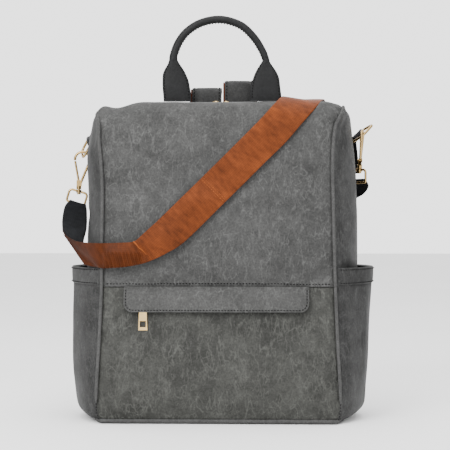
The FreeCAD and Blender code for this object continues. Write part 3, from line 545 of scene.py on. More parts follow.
# ---- shell: one closed skin, puffed by a cloth simulation, then cut into its panels -------------
PANEL = 2.4
SEAM_DIP = 2.6
ACROSS = [-1.0, -0.988, -0.965] + steps(-0.93, 0.93, 39) + [0.965, 0.988, 1.0]
ROLL_START = HEIGHT - FRONT_ROLL_R
LEVELS = steps(FOOT_Z, ZIP_LOW_Z, 20)[:-1] + steps(ZIP_LOW_Z, ZIP_HIGH_Z, 3)[:-1]
LEVELS += steps(ZIP_HIGH_Z, 154.4, 4) + [156.0, 157.6, 160.0] + steps(160.0, ROLL_START, 29)[1:]
LEVELS += [ROLL_START + FRONT_ROLL_R * math.sin(math.radians(a)) for a in (15, 30, 45, 60, 75, 90)]
TOP_YS = [front_y(HEIGHT) + 4.0 * k for k in range(1, 22)]
FRONT_END = len(LEVELS) - 1                    # index of the row where the roll ends
TOP_END = FRONT_END + len(TOP_YS)              # index of the row at the back edge
SEAM_ROW = LEVELS.index(156.0)
SLOT_LOW, SLOT_HIGH = LEVELS.index(ZIP_LOW_Z), LEVELS.index(ZIP_HIGH_Z)
ZIP_FRONT_ROW = FRONT_END + 13
ZIP_BACK_ROW = FRONT_END + 17
BACK_DROP = HEIGHT - top_z(TOP_BACK_Y)


def back_level(z):
    """Height of the back seam beside a height of the front seam."""
    return z - BACK_DROP * smooth(290, HEIGHT, z)


def wrap_row(index):
    """Depth, height, outward direction and half width of one row, from front foot to back foot."""
    if index <= FRONT_END:
        z = LEVELS[index]
        rise = min(max((z - ROLL_START) / FRONT_ROLL_R, 0.0), 1.0)
        out = Vector((0, -math.sqrt(1 - rise * rise), rise))
        return front_y(z), z, out, front_half(z)
    if index <= TOP_END:
        y = TOP_YS[index - FRONT_END - 1]
        over = max(0.0, y - (TOP_BACK_Y - BACK_ROLL_R + 1)) / BACK_ROLL_R
        out = Vector((0, over, math.sqrt(1 - over * over)))
        return y, top_z(y), out, top_half(y)
    z = back_level(LEVELS[FRONT_END - (index - TOP_END)])
    return back_y(z), z, Vector((0, 1, 0)), back_half(z)


def build_wrap():
    rows = []
    for index in range(TOP_END + FRONT_END + 1):
        y, z, out, half = wrap_row(index)
        seam = 1.5 if index == SEAM_ROW else 0.0
        row = []
        for u in ACROSS:
            dip = SEAM_DIP * smooth(0.955, 1.0, abs(u)) + seam
            wide = half + left_extra(z) * smooth(TOP_BACK_Y, -10, y) if u < 0 else half
            point = Vector((u * wide, y, z)) - out * dip
            point.z -= droop(point.x, z)
            row.append(point)
        rows.append(row)
    return rows


def build_gusset(wrap, column):
    """Side panel between the wrap's edge in front, above and behind."""
    side = 1 if column else -1
    count = len(TOP_YS) + 1
    rows = []
    for i in range(FRONT_END + 1):
        first = wrap[i][column]
        last = wrap[TOP_END + FRONT_END - i][column]
        bulge = curve_value(SIDE_BULGE, LEVELS[i])
        if side < 0:
            bulge -= 3.0 * smooth(300, 352, LEVELS[i])
            slim = 4.0 + 1.5 * smooth(190, 245, LEVELS[i])
            bulge -= slim * smooth(345, 250, LEVELS[i]) * smooth(30, 90, LEVELS[i])
        row = []
        for j in range(count):
            t = j / (count - 1)
            point = first.lerp(last, t)
            point.x += side * bulge * math.sin(math.pi * t) ** 0.75
            row.append(point)
        rows.append(row)
    rows[-1] = [wrap[FRONT_END + j][column] for j in range(count)]
    return rows


def build_floor(wrap, left, right):
    """Bottom skin between the feet of the wrap and the side panels."""
    count = len(left[0])
    rows = []
    for j in range(count):
        front, back = wrap[0], wrap[-1]
        row = []
        for k in range(len(ACROSS)):
            t = j / (count - 1)
            share = (ACROSS[k] + 1) / 2
            point = front[k].lerp(back[k], t)
            edge = left[0][j].lerp(right[0][j], share)
            point.x = edge.x
            inside = min(1.0, 6 * min(t, 1 - t)) * min(1.0, 10 * min(share, 1 - share))
            point.z = FOOT_Z * (1 - smooth(0, 1, inside)) + 0.3
            row.append(point)
        rows.append(row)
    rows[0], rows[-1] = list(wrap[0]), list(wrap[-1])
    for j in range(count):
        rows[j][0], rows[j][-1] = left[0][j], right[0][j]
    return rows


CREASES = [
    # start x, z; end x, z; width; depth: soft folds in the front panels
    (119, 338, 112, 268, 6, 3.0),
    (124, 300, 104, 246, 5, 2.0),
    (-122, 296, -90, 252, 7, 1.3),
    (-118, 352, -96, 318, 7, 1.5),
    (-60, 334, 16, 322, 12, 0.9),
    (96, 250, 60, 214, 9, 0.8),
    (-124, 120, -104, 40, 8, 1.0),
    (122, 118, 108, 52, 8, 0.9),
]


def crease_depth(x, z):
    """How deep the soft folds press the front in at a place."""
    total = 0.0
    for x1, z1, x2, z2, width, depth in CREASES:
        dx, dz = x2 - x1, z2 - z1
        t = min(max(((x - x1) * dx + (z - z1) * dz) / (dx * dx + dz * dz), 0.0), 1.0)
        gap = math.hypot(x - x1 - dx * t, z - z1 - dz * t)
        total += depth * math.exp(-((gap / width) ** 2)) * math.sin(math.pi * (0.1 + 0.8 * t))
    return total


def puff_limit(point):
    """How far the skin may move at a place: less near hardware that lies close to it."""
    x, y, z = point
    if abs(x) > 140:
        return 2.0
    if y < -30:
        near_puller = smooth(118, 104, abs(x)) * smooth(150, 140, z) * smooth(84, 100, z)
        near_flap = smooth(112, 126, z) * smooth(168, 158, z)
        under_roll = smooth(352, 322, z)
        return (5.0 if z > 156 else 4.5) * (1 - 0.93 * near_puller) * (1 - 0.8 * near_flap) * under_roll + 0.3
    if y > 55:
        return 4.0
    return 0.9


def point_key(p):
    """Points of neighbouring grids count as one where they round to the same place."""
    return round(p.x, 2), round(p.y, 2), round(p.z, 2)


def puffed(grids, pinned):
    """Grids after their closed skin has been filled with air; pinned points don't move."""
    index, points, faces = {}, [], []
    for grid, flip in grids:
        for row in grid:
            for p in row:
                key = point_key(p)
                if key not in index:
                    index[key] = len(points)
                    points.append(p)
        for i in range(len(grid) - 1):
            for j in range(len(grid[0]) - 1):
                corners = [grid[i][j], grid[i][j + 1], grid[i + 1][j + 1], grid[i + 1][j]]
                ids = [index[point_key(p)] for p in corners]
                ids = [a for k, a in enumerate(ids) if a != ids[k - 1]]
                if len(ids) >= 3:
                    faces.append(tuple(reversed(ids)) if flip else tuple(ids))
    held = [index[point_key(p)] for p in pinned]
    mesh = bpy.data.meshes.new("skin")
    mesh.from_pydata([tuple(p * MM) for p in points], [], faces)
    skin = bpy.data.objects.new("skin", mesh)
    bpy.context.collection.objects.link(skin)
    group = skin.vertex_groups.new(name="seams")
    group.add(sorted(set(held)), 1.0, "REPLACE")
    cloth = skin.modifiers.new("cloth", "CLOTH").settings
    cloth.quality = 4
    cloth.mass = 0.4
    cloth.tension_stiffness = cloth.compression_stiffness = 12
    cloth.shear_stiffness = 6
    cloth.bending_stiffness = 1.2
    cloth.shrink_min = -0.02
    cloth.use_pressure = True
    cloth.uniform_pressure_force = 5
    cloth.vertex_group_mass = "seams"
    cloth.effector_weights.gravity = 0
    for step in range(1, 17):
        bpy.context.scene.frame_set(step)
    graph = bpy.context.evaluated_depsgraph_get()
    moved = skin.evaluated_get(graph).to_mesh()
    result = [v.co / MM for v in moved.vertices]
    skin.evaluated_get(graph).to_mesh_clear()
    bpy.data.objects.remove(skin)
    bpy.context.scene.frame_set(1)
    where = {}
    for key, k in index.items():
        shift = result[k] - points[k]
        limit = puff_limit(points[k])
        if shift.length > 1e-6:
            shift = shift * (limit * math.tanh(shift.length / limit) / shift.length)
        where[key] = shift
    return lambda p: where.get(point_key(p), Vector())


wrap = build_wrap()
gusset_left = build_gusset(wrap, 0)
gusset_right = build_gusset(wrap, -1)
floor_skin = build_floor(wrap, gusset_left, gusset_right)
edge_points = [row[0] for row in wrap] + [row[-1] for row in wrap]
held_rows = [SEAM_ROW] + list(range(SLOT_LOW, SLOT_HIGH + 1)) + list(range(ZIP_FRONT_ROW, ZIP_BACK_ROW + 1))
held_points = [p for index in held_rows for p in wrap[index]]
held_points += [p for row in floor_skin for p in row]


def relaxed():
    """Moves every shell point by the simulation, or by a plain swell when that is skipped, and adds folds."""
    grids = [(wrap, False), (gusset_left, True), (gusset_right, False), (floor_skin, True)]
    shift_of = puffed(grids, edge_points + held_points)
    for grid in (wrap, gusset_left, gusset_right):
        shifts = [[shift_of(p) for p in row] for row in grid]
        for row, line in zip(grid, shifts):
            for k, (p, shift) in enumerate(zip(row, line)):
                moved = p + shift
                if grid is wrap and p.y < -40 and p.z > FOOT_Z + 1:
                    loose = smooth(1.0, 0.9, abs(p.x) / front_half(p.z))
                    wave = noise.noise(Vector((p.x, p.z * 0.6, 3)) / 34) * 1.1
                    fold = crease_depth(p.x, p.z) + wave * smooth(0, 14, abs(p.z - FRONT_SEAM_Z))
                    moved.y += fold * loose * min(puff_limit(p) / 4, 1)
                row[k] = moved


relaxed()


def leather_thick(piece):
    """Gives a skin the thickness of the shell leather, inwards."""
    solid = piece.modifiers.new("leather", "SOLIDIFY")
    solid.thickness = PANEL * MM
    solid.offset = -1


def panel(name, grid, material, keep, replaces, flip=False):
    """A shell panel from the faces of a grid that keep(i, j) wants, made as thick as the leather."""
    rows, cols = len(grid), len(grid[0])
    used, points, faces = {}, [], []
    for i in range(rows - 1):
        for j in range(cols - 1):
            if not keep(i, j):
                continue
            corner_ids = []
            for a, b in ((i, j), (i, j + 1), (i + 1, j + 1), (i + 1, j)):
                if (a, b) not in used:
                    used[a, b] = len(points)
                    points.append(grid[a][b])
                corner_ids.append(used[a, b])
            faces.append(tuple(reversed(corner_ids)) if flip else tuple(corner_ids))
    piece = new_piece(name, points, faces, material)
    finer = piece.modifiers.new("finer", "SUBSURF")
    finer.levels = finer.render_levels = 1
    leather_thick(piece)
    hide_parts(*replaces)


def in_slot(i, j):
    middle = (wrap[i][j].x + wrap[i][j + 1].x) / 2
    return SLOT_LOW <= i < SLOT_HIGH and abs(middle - FLAP_CENTRE_X) < ZIP_HALF


def in_main_zip(i, j):
    middle = (wrap[i][j].x + wrap[i][j + 1].x) / 2
    return ZIP_FRONT_ROW <= i < ZIP_BACK_ROW and abs(middle) < MAIN_SLOT_HALF


panel(
    "upper_front", wrap, SHELL,
    lambda i, j: SEAM_ROW <= i < ZIP_BACK_ROW and not in_main_zip(i, j), ["front_upper_panel"],
)
panel("lower_front", wrap, LOWER, lambda i, j: i < SEAM_ROW and not in_slot(i, j), ["front_pocket_panel"])
panel("back", wrap, SHELL, lambda i, j: i >= ZIP_BACK_ROW, ["back_panel"])
panel("side_left", gusset_left, SIDE, lambda i, j: True, ["side_gusset_left"], flip=True)
panel("side_right", gusset_right, SIDE, lambda i, j: True, ["side_gusset_right"])


def build_base():
    """Bottom of the bag with a rounded edge."""
    faces = grid_faces(len(floor_skin), len(floor_skin[0]))
    points = [p for row in floor_skin for p in row]
    piece = new_piece("bottom", points, [tuple(reversed(f)) for f in faces], LOWER)
    leather_thick(piece)
    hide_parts("base_panel")


build_base()


def build_binding():
    """Rolled leather edge round the foot of the bag."""
    loop = wrap[0][:-1] + gusset_right[0][:-1]
    loop += list(reversed(wrap[-1]))[:-1] + list(reversed(gusset_left[0]))[:-1]
    loop = smooth_line(loop[::2], 2, closed=True)
    loop.append(loop[0].copy())
    count = len(loop)
    grid = []
    for z, out in ((5.4, 0.1), (4.9, 0.8), (3.6, 1.3), (2.2, 1.3), (1.0, 0.8), (0.4, -0.4), (0.3, -3.0)):
        row = []
        for k, p in enumerate(loop):
            ahead, behind = loop[(k + 1) % (count - 1)], loop[(k - 1) % (count - 1)]
            way = (ahead - behind).normalized()
            row.append(Vector((p.x + way.y * out, p.y - way.x * out, z)))
        grid.append(row)
    piece = new_piece("base_binding", *thick_grid(list(reversed(grid)), 0.8), PIPING)


build_binding()


def build_piping(column, name):
    """Covered cord in the front seam, from just above the base, over the roll, to the back corner."""
    side = 1 if column else -1
    start = next(i for i, z in enumerate(LEVELS) if z > 20)
    line = []
    for i in range(start, FRONT_END + 19):
        z, out = wrap_row(i)[1:3]
        proud = 2.6 - 2.2 * smooth(352, 371, z)
        tuck = 2.6 * smooth(338, 362, z) if side < 0 else 0.0
        line.append(wrap[i][column] + out * (proud - 0.3 * tuck) + Vector((side * (0.7 - tuck), 0, 0)))
    line = smooth_line(line[::2], 3)
    end = line[-1]
    line += [end + Vector((-side * 2.0, 3.0, -0.6)), end + Vector((-side * 6.0, 5.0, -1.4))]
    swell = lambda s: PIPING_R * min(1.0, 0.45 + 30 * s, 0.45 + 30 * (1 - s))
    piece = new_piece("piping_cord_" + name, *tube_mesh(line, swell, 12), PIPING)
    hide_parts("piping_" + name)


build_piping(0, "left")
build_piping(-1, "right")


def sewn(name, line, out, body="bag", thread=THREAD, **sizes):
    """A row of stitches as a piece of its own."""
    piece = new_piece(name, *stitch_row(line, out, **sizes), thread, body)


seam_stitch = [p + Vector((0, -0.05, 0)) for p in wrap[SEAM_ROW + 2][2:-2]]
sewn("stitch_front_seam", seam_stitch, lambda p: Vector((0, -1, 0)), pitch=3.7, width=0.66, sink=0.35)
for column, name in ((0, "left"), (-1, "right")):
    side = 1 if column else -1
    foot = [wrap[i][column] + Vector((side * 0.6, -1.6, 0)) for i in range(0, 4)]
    sewn("stitch_foot_" + name, foot, lambda p, side=side: Vector((side * 0.5, -0.85, 0)))
for name, index in (("front", ZIP_FRONT_ROW - 1), ("back", ZIP_BACK_ROW + 1)):
    line = [p + Vector((0, 0, 0.25)) for p in wrap[index][2:-2]]
    sewn("stitch_zip_" + name, line, lambda p: Vector((0, 0, 1)))


# ---- side pockets ------------------------------------------------------------------------------
def pocket_point(side, z, t, out):
    """Point of a side pocket at a height and a share of its way from front seam to back seam."""
    bulge = curve_value(POCKET_BULGE, z)
    if side < 0:
        bulge -= 3.6 * smooth(50, 165, z)
    start = front_y(z) + 2 * PIPING_R
    y = start + (back_y(z) - 3.0 - start) * t
    x = side_x(z, t, bulge) + POCKET_OUT * min(1.0, 12 * t, 12 * (1 - t)) + out
    slack = noise.noise(Vector((side * 7, y, z * 0.45)) / 26) * 1.6
    gather = math.sin(t * math.pi * 7 + side) * 0.7 * smooth(20, 60, z) * smooth(178, 120, z)
    return Vector((side * (x + (slack + gather) * math.sin(math.pi * t)), y, z))


def pocket_sheet(side, heights, proud, thickness):
    """Thick skin of a pocket through its heights, each standing proud by its own amount."""
    grid = [[pocket_point(side, z, t, out) for t in steps(0.0, 1.0, 37)] for z, out in zip(heights, proud)]
    if side < 0:
        grid = [list(reversed(row)) for row in grid]
    return thick_grid(grid, thickness)


def build_pocket(side, name):
    heights = steps(FOOT_Z + 0.6, 24, 8)[:-1] + steps(24, POCKET_RIM_Z - POCKET_BAND + 3, 22)
    skin = pocket_sheet(side, heights, [0.0] * len(heights), POUCH_LEATHER)
    pouch = new_piece("pocket_pouch_" + name, *skin, SIDE)
    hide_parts("side_pocket_" + name)
    levels = [POCKET_RIM_Z - POCKET_BAND + d for d in (0, 0.8, 4, 8, 12, 16, 19.2, 20)]
    proud = [0.2, 1.1, 1.3, 1.4, 1.4, 1.3, 1.1, 0.3]
    band = new_piece("pocket_rim_" + name, *pocket_sheet(side, levels, proud, RIM_LEATHER), SIDE)
    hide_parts("pocket_band_" + name)
    for z, row in ((POCKET_RIM_Z - 2.4, "top"), (POCKET_RIM_Z - POCKET_BAND + 2.2, "low")):
        line = [pocket_point(side, z, t, 1.55) for t in steps(0.02, 0.98, 60)]
        out = lambda p, side=side: Vector((side, 0.012 * (p.y + 2), 0)).normalized()
        sewn("stitch_pocket_" + row + "_" + name, line, out)


build_pocket(-1, "left")
build_pocket(1, "right")


# ---- flap over the front zip -------------------------------------------------------------------
FLAP_HALF = 106.0
FLAP_TOP_Z = 157.0
FLAP_LOW_Z = 128.0
FLAP_R = 10.5
FLAP_LEATHER = 1.8


def flap_half(z):
    """Half width of the flap, whose two lower corners are round."""
    drop = max(0.0, FLAP_LOW_Z + FLAP_R - z)
    return FLAP_HALF - FLAP_R + math.sqrt(max(FLAP_R**2 - drop**2, 0.0))


def flap_point(x, z, out):
    """Point of the flap, which stands clear of the zip that it covers."""
    share = (FLAP_TOP_Z - z) / (FLAP_TOP_Z - FLAP_LOW_Z)
    lift = 2.3 + 1.6 * smooth(0.0, 0.2, share) + 6.8 * share**0.7
    sway = noise.noise(Vector((x, 0, 5)) / 45) * 0.5 * share
    return Vector((FLAP_CENTRE_X + x, front_y(z) - lift - sway - out, z))


def build_flap():
    heights = [FLAP_LOW_Z + FLAP_R * (1 - math.cos(math.radians(a))) for a in steps(0, 90, 9)]
    heights = [FLAP_LOW_Z + 0.05] + heights[1:] + steps(heights[-1], FLAP_TOP_Z, 8)[1:]
    grid = []
    for z in heights:
        half = flap_half(z)
        row = []
        for u in ACROSS:
            edge = max(smooth(0.97, 1.0, abs(u)), smooth(1.6, 0.0, z - FLAP_LOW_Z))
            row.append(flap_point(u * half, z, -0.9 * edge))
        grid.append(row)
    piece = new_piece("zip_flap", *thick_grid(grid, FLAP_LEATHER), FLAP, "flap")
    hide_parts("front_flap")
    soft_edges(piece, 0.7)
    inset = 2.4
    left = []
    for z in steps(FLAP_TOP_Z - 3, FLAP_LOW_Z + FLAP_R, 6):
        left.append(flap_point(-(FLAP_HALF - inset), z, 0.2))
    for a in steps(0, 90, 8)[1:]:
        angle = math.radians(a)
        x = FLAP_HALF - FLAP_R + (FLAP_R - inset) * math.cos(angle)
        z = FLAP_LOW_Z + FLAP_R - (FLAP_R - inset) * math.sin(angle)
        left.append(flap_point(-x, z, 0.2))
    right = [Vector((2 * FLAP_CENTRE_X - p.x, p.y, p.z)) for p in reversed(left)]
    straight = FLAP_HALF - FLAP_R
    low = [flap_point(x, FLAP_LOW_Z + inset, 0.2) for x in steps(-straight, straight, 24)]
    sewn("stitch_flap", left + low[1:-1] + right, lambda p: Vector((0, -1, 0)), "flap")


build_flap()


# ---- grab handle -------------------------------------------------------------------------------
HANDLE_Y = 50.0
HANDLE_R = 4.6
PADDLE_LOW_Z = 376.6
HANDLE_HEART = Vector((-2, HANDLE_Y, 436))    # middle of the handle's opening

# (height, left edge, right edge) of each paddle
PADDLE_LEFT = [
    (376.6, -70.8, -37.2), (384, -71.3, -37.4), (394, -72.2, -38.8), (402, -72.3, -40.4),
    (409.6, -71.9, -43.4), (416, -69.4, -46.8), (422, -66.0, -50.8), (427, -64.4, -53.6), (431, -64.0, -54.0),
]
PADDLE_RIGHT = [
    (376.6, 34.8, 73.2), (384, 34.8, 72.8), (393.5, 35.2, 71.6), (403.6, 38.0, 70.4), (410, 40.4, 68.2),
    (415.6, 43.2, 65.0), (421, 46.6, 61.2), (426, 49.6, 58.4), (430, 50.0, 57.4),
]


# (across, height) of the grip's centre line
HANDLE_ARCH = [
    (-59.2, 419), (-59.2, 427), (-58.2, 434.5), (-52.3, 449.2), (-41.6, 462.6), (-24.0, 473.0),
    (-0.6, 476.6), (23.4, 469.4), (39.4, 454.6), (49.2, 439.2), (52.8, 430.6), (54.6, 424), (55.2, 418),
]


def paddle_outline(side, inset=0.0):
    """A paddle's two edges up its height, as (height, left, right)."""
    table = PADDLE_LEFT if side == "left" else PADDLE_RIGHT
    return [(z, left + inset, right - inset) for z, left, right in table]


def build_paddle(side):
    """Two layers of leather stitched together: pillowed in the middle, thin at the edges."""
    keys = [Vector((left, right, z)) for z, left, right in paddle_outline(side)]
    rows = smooth_line(keys, 4)
    shares = [-1, -0.97, -0.9, -0.78, -0.6, -0.35, 0, 0.35, 0.6, 0.78, 0.9, 0.97, 1]
    front, back = [], []
    for row in rows:
        middle, wide = (row.x + row.y) / 2, (row.y - row.x) / 2
        up = smooth(412, 430, row.z)
        for s in shares:
            lens = 1.3 + 1.5 * (1 - abs(s) ** 4)
            round_neck = HANDLE_R * math.sqrt(max(1 - s * s, 0.0))
            deep = lens + (round_neck - lens) * up
            if row.z < PADDLE_LOW_Z + 3:
                deep *= 0.9
            crimp = 0.5 * math.exp(-(((abs(s) - 0.86) / 0.05) ** 2)) * (1 - up)
            front.append(Vector((middle + s * wide, HANDLE_Y - deep + crimp, row.z)))
            back.append(Vector((middle + s * wide, HANDLE_Y + deep - crimp, row.z)))
    return front + back, sheet_faces(len(rows), len(shares), front_first=False)


def build_handle():
    parts = [build_paddle(side) for side in ("left", "right")]
    paddles = new_piece("handle_paddles", *join_meshes(parts), HANDLE, "handle")
    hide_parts("grab_handle", "handle_core")
    line = smooth_line([Vector((x, HANDLE_Y, z)) for x, z in HANDLE_ARCH], 7)
    grip_r = lambda s: (5.0 - 0.7 * s) * (0.35 + 0.65 * smooth(0.0, 0.09, s) * smooth(1.0, 0.91, s))
    grip = new_piece("handle_grip", *tube_mesh(line, grip_r, 20), HANDLE, "handle")
    to_heart = lambda p: (HANDLE_HEART - p).normalized()
    inner = []
    for k, p in enumerate(line[14:-14]):
        inner.append(p + to_heart(p) * (grip_r((k + 14) / len(line)) - 0.1))
    sewn("stitch_handle_grip", inner, to_heart, "handle", pitch=3.6)
    for name in ("left", "right"):
        rows = smooth_line([Vector((a, b, z)) for z, a, b in paddle_outline(name, 2.3)], 4)
        rows = [r for r in rows if PADDLE_LOW_Z + 3 < r.z < 424]
        for face in (-1, 1):
            line = [Vector((r.x, HANDLE_Y + face * 2.25, r.z)) for r in rows]
            line += [Vector((r.y, HANDLE_Y + face * 2.25, r.z)) for r in reversed(rows)]
            where = "front" if face < 0 else "back"
            out = lambda p, face=face: Vector((0, face, 0))
            sewn("stitch_paddle_" + where + "_" + name, line, out, "handle")


build_handle()


# ---- flat straps -------------------------------------------------------------------------------
def strap_grid(rows, per_span, across, crown=0.0, wave=0.0, seed=0.0, relief=None):
    """Points of a flat strap between its two edges, and UVs in metres.

    relief(point) is extra height."""
    edge_a = smooth_line([Vector(a) for a, b in rows], per_span)
    edge_b = smooth_line([Vector(b) for a, b in rows], per_span)
    grid, uv, run = [], [], 0.0
    for k, (a, b) in enumerate(zip(edge_a, edge_b)):
        if k:
            run += ((a + b) / 2 - (edge_a[k - 1] + edge_b[k - 1]) / 2).length
        grid.append([a.lerp(b, s) for s in steps(0.0, 1.0, across)])
        uv.append([(run * MM, s * (a - b).length * MM) for s in steps(0.0, 1.0, across)])
    bent = []
    for i, row in enumerate(grid):
        line = []
        for j, p in enumerate(row):
            s = j / (across - 1)
            ripple = noise.noise(Vector((uv[i][j][0] * 30, s * 1.2, seed)))
            lift = crown * math.sin(math.pi * s) + wave * ripple
            if relief is not None:
                lift += relief(p)
            line.append(p + grid_normal(grid, i, j) * lift)
        bent.append(line)
    return bent, uv


def two_faced(name, grid, uv, thickness, face, reverse):
    """Strap with one material on its front and edges and another on its back."""
    points, faces = thick_grid(grid, thickness)
    flat_uv = [c for row in uv for c in row]
    piece = new_piece(name, points, faces, face, uv=flat_uv + flat_uv)
    piece.data.materials.append(reverse)
    front = (len(grid) - 1) * (len(grid[0]) - 1)
    for k in range(front, 2 * front):
        piece.data.polygons[k].material_index = 1
    return piece


STRAP_ROWS = [
    ((-188.5, 7, 215.5), (-156.0, -50, 181.5)),
    ((-171.5, -20, 208.5), (-142.5, -64, 179.5)),
    ((-152.0, -50, 206.7), (-134.0, -74, 178.3)),
    ((-133.5, -71, 206.7), (-124.0, -78, 178.5)),
    ((-112.0, -77, 207.4), (-106.5, -80, 179.7)),
    ((-98.5, -79, 208.2), (-88.0, -80.5, 183.0)),
    ((-93.0, -79, 210.2), (-75.0, -80, 187.4)),
    ((-83.5, -77, 219.0), (-58.0, -78, 195.6)),
    ((-65.7, -73, 235.5), (-38.0, -74, 208.5)),
    ((-24.0, -68, 276.5), (3.5, -70, 249.0)),
    ((26.3, -62.5, 326.5), (53.7, -64.5, 299.0)),
    ((49.0, -57.5, 350.0), (77.0, -61, 322.0)),
    ((64.0, -48, 367.0), (98.0, -55, 346.5)),
    ((72.0, -29, 376.0), (113.0, -42, 364.2)),
    ((79.0, -2, 376.5), (120.0, -18, 373.2)),
    ((88.0, 38, 376.0), (126.0, 28, 374.6)),
    ((95.0, 66, 372.5), (129.0, 62, 368.0)),
    ((101.0, 88, 356.0), (134.0, 79, 349.0)),
    ((112.0, 92, 330.0), (145.0, 79, 325.0)),
    ((122.0, 93, 305.0), (153.0, 77, 301.0)),
    ((126.0, 92, 292.0), (154.0, 77, 277.0)),
]
STRAP_END_LEFT = [
    ((-186.8, 55.5, 256.5), (-167.3, 57.5, 250.5)),
    ((-192.6, 50.0, 248.0), (-165.0, 50.0, 241.0)),
    ((-194.0, 40.0, 232.5), (-162.6, 28.0, 222.0)),
    ((-192.5, 28.0, 223.0), (-162.4, -4.0, 206.0)),
    ((-190.5, 17.0, 218.0), (-158.5, -39.0, 187.0)),
]
STRAP_END_RIGHT = [
    ((173.5, 43.5, 281.5), (163.2, 57.5, 281.5)),
    ((177.6, 46.0, 272.0), (160.0, 70.0, 266.0)),
    ((168.0, 60.0, 262.0), (147.0, 84.0, 252.0)),
    ((152.0, 76.0, 270.0), (132.0, 91.0, 262.0)),
]


# (across, height) of the strap's folded ridge
STRAP_FOLD = [
    (-95.6, 208.4), (-92.5, 205.4), (-89.5, 202.4), (-86.5, 199.4), (-83.5, 196.4), (-81.0, 193.5),
]


def strap_relief(p):
    """Fold ridge where the strap turns upward, and the pressed ribs beside it."""
    along = Vector((0.71, 0, -0.70))
    gap = Vector((p.x + 95.5, 0, p.z - 208.5))
    down = gap.dot(along)
    off = gap.dot(Vector((0.70, 0, 0.71)))
    ridge = 1.9 * math.exp(-((off / 1.6) ** 2)) * smooth(-3, 1, down) * smooth(36, 14, down)
    ribs = smooth(-133, -128, p.x) * smooth(-82, -88, p.x) * smooth(198, 194, p.z)
    return ridge + 0.95 * ribs * math.sin(2 * math.pi * (p.x + 0.25 * p.z) / 4.4)


def strap_length(rows):
    """Length in metres along the middle of a strap."""
    middles = [(Vector(a) + Vector(b)) / 2 for a, b in rows]
    return sum((b - a).length for a, b in zip(middles, middles[1:])) * MM


def build_shoulder_strap():
    grid, uv = strap_grid(STRAP_ROWS, 24, 29, crown=0.8, wave=1.6, seed=2.0, relief=strap_relief)
    strap = two_faced("crossbody_strap", grid, uv, STRAP_THICK, STRAP, STRAP_BACK)
    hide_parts("shoulder_strap")
    strap_length(STRAP_ROWS)
    surface = [p for row in grid for p in row]
    fold = []
    for x, z in STRAP_FOLD:
        fold.append(min(surface, key=lambda p: abs(p.x - x) + abs(p.z - z) + (p.y > -60) * 99))
    fold = [p + Vector((0, 0.1, 0)) for p in smooth_line(fold, 5)]
    bead = new_piece("strap_fold_ridge", *tube_mesh(fold, lambda t: 0.8 * (1 - 0.8 * t), 8), STRAP_THREAD)
    joint = next(k for k, row in enumerate(grid) if k > 96 and row[0].x > -20.5)
    for number, k in enumerate((joint, joint + 1)):
        lift = lambda p: Vector((0, -1, 0))
        line = grid[k][1:-1]
        name = "stitch_strap_join_%d" % number
        sewn(name, line, lift, thread=STRAP_THREAD, width=0.34, length=2.6)
    for name, rows in (("left", STRAP_END_LEFT), ("right", STRAP_END_RIGHT)):
        grid, uv = strap_grid(rows, 7, 11, crown=0.8 if name == "left" else -0.8)
        face, reverse = (STRAP, STRAP_BACK) if name == "left" else (STRAP_BACK, STRAP_BACK)
        end = two_faced("strap_turn_" + name, grid, uv, STRAP_THICK, face, reverse)
        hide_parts("strap_end_" + name)
        strap_length(rows)


build_shoulder_strap()


# ---- backpack straps ---------------------------------------------------------------------------
# top across, rise of the loop, foot across, lower ring across
BACKPACK_STRAPS = {"left": (-18.6, 22.0, -92.0, -118.0), "right": (21.2, 30.5, 92.0, 118.0)}
PAD_HALF_WIDTH = 18.0
TAPE_HALF_WIDTH = 12.5


def backpack_path(x, rise, foot_x):
    """Centre line: up out of the back seam, over in a short loop, and down the back."""
    out = back_y(HEIGHT)
    path = [
        (x, out + 1.5, HEIGHT - 12), (x, out + 2.0, HEIGHT + rise - 8), (x, out + 5.0, HEIGHT + rise - 2),
        (x, out + 10.0, HEIGHT + rise), (x, out + 16.0, HEIGHT + rise - 5),
        (x + (foot_x - x) * 0.05, out + 19.5, HEIGHT + rise - 22), (x + (foot_x - x) * 0.25, out + 22.0, 320),
        (x + (foot_x - x) * 0.55, out + 23.0, 255), (x + (foot_x - x) * 0.8, out + 21.0, 190),
        (foot_x - (foot_x - x) * 0.01, out + 18.2, 134),
    ]
    return smooth_line([Vector(p) for p in path], 7)


def path_normal(line, k):
    """The way outwards from a backpack strap at a point of its centre line."""
    tangent = line[min(k + 1, len(line) - 1)] - line[max(k - 1, 0)]
    return Vector((-1, 0, 0)).cross(tangent).normalized() * -1


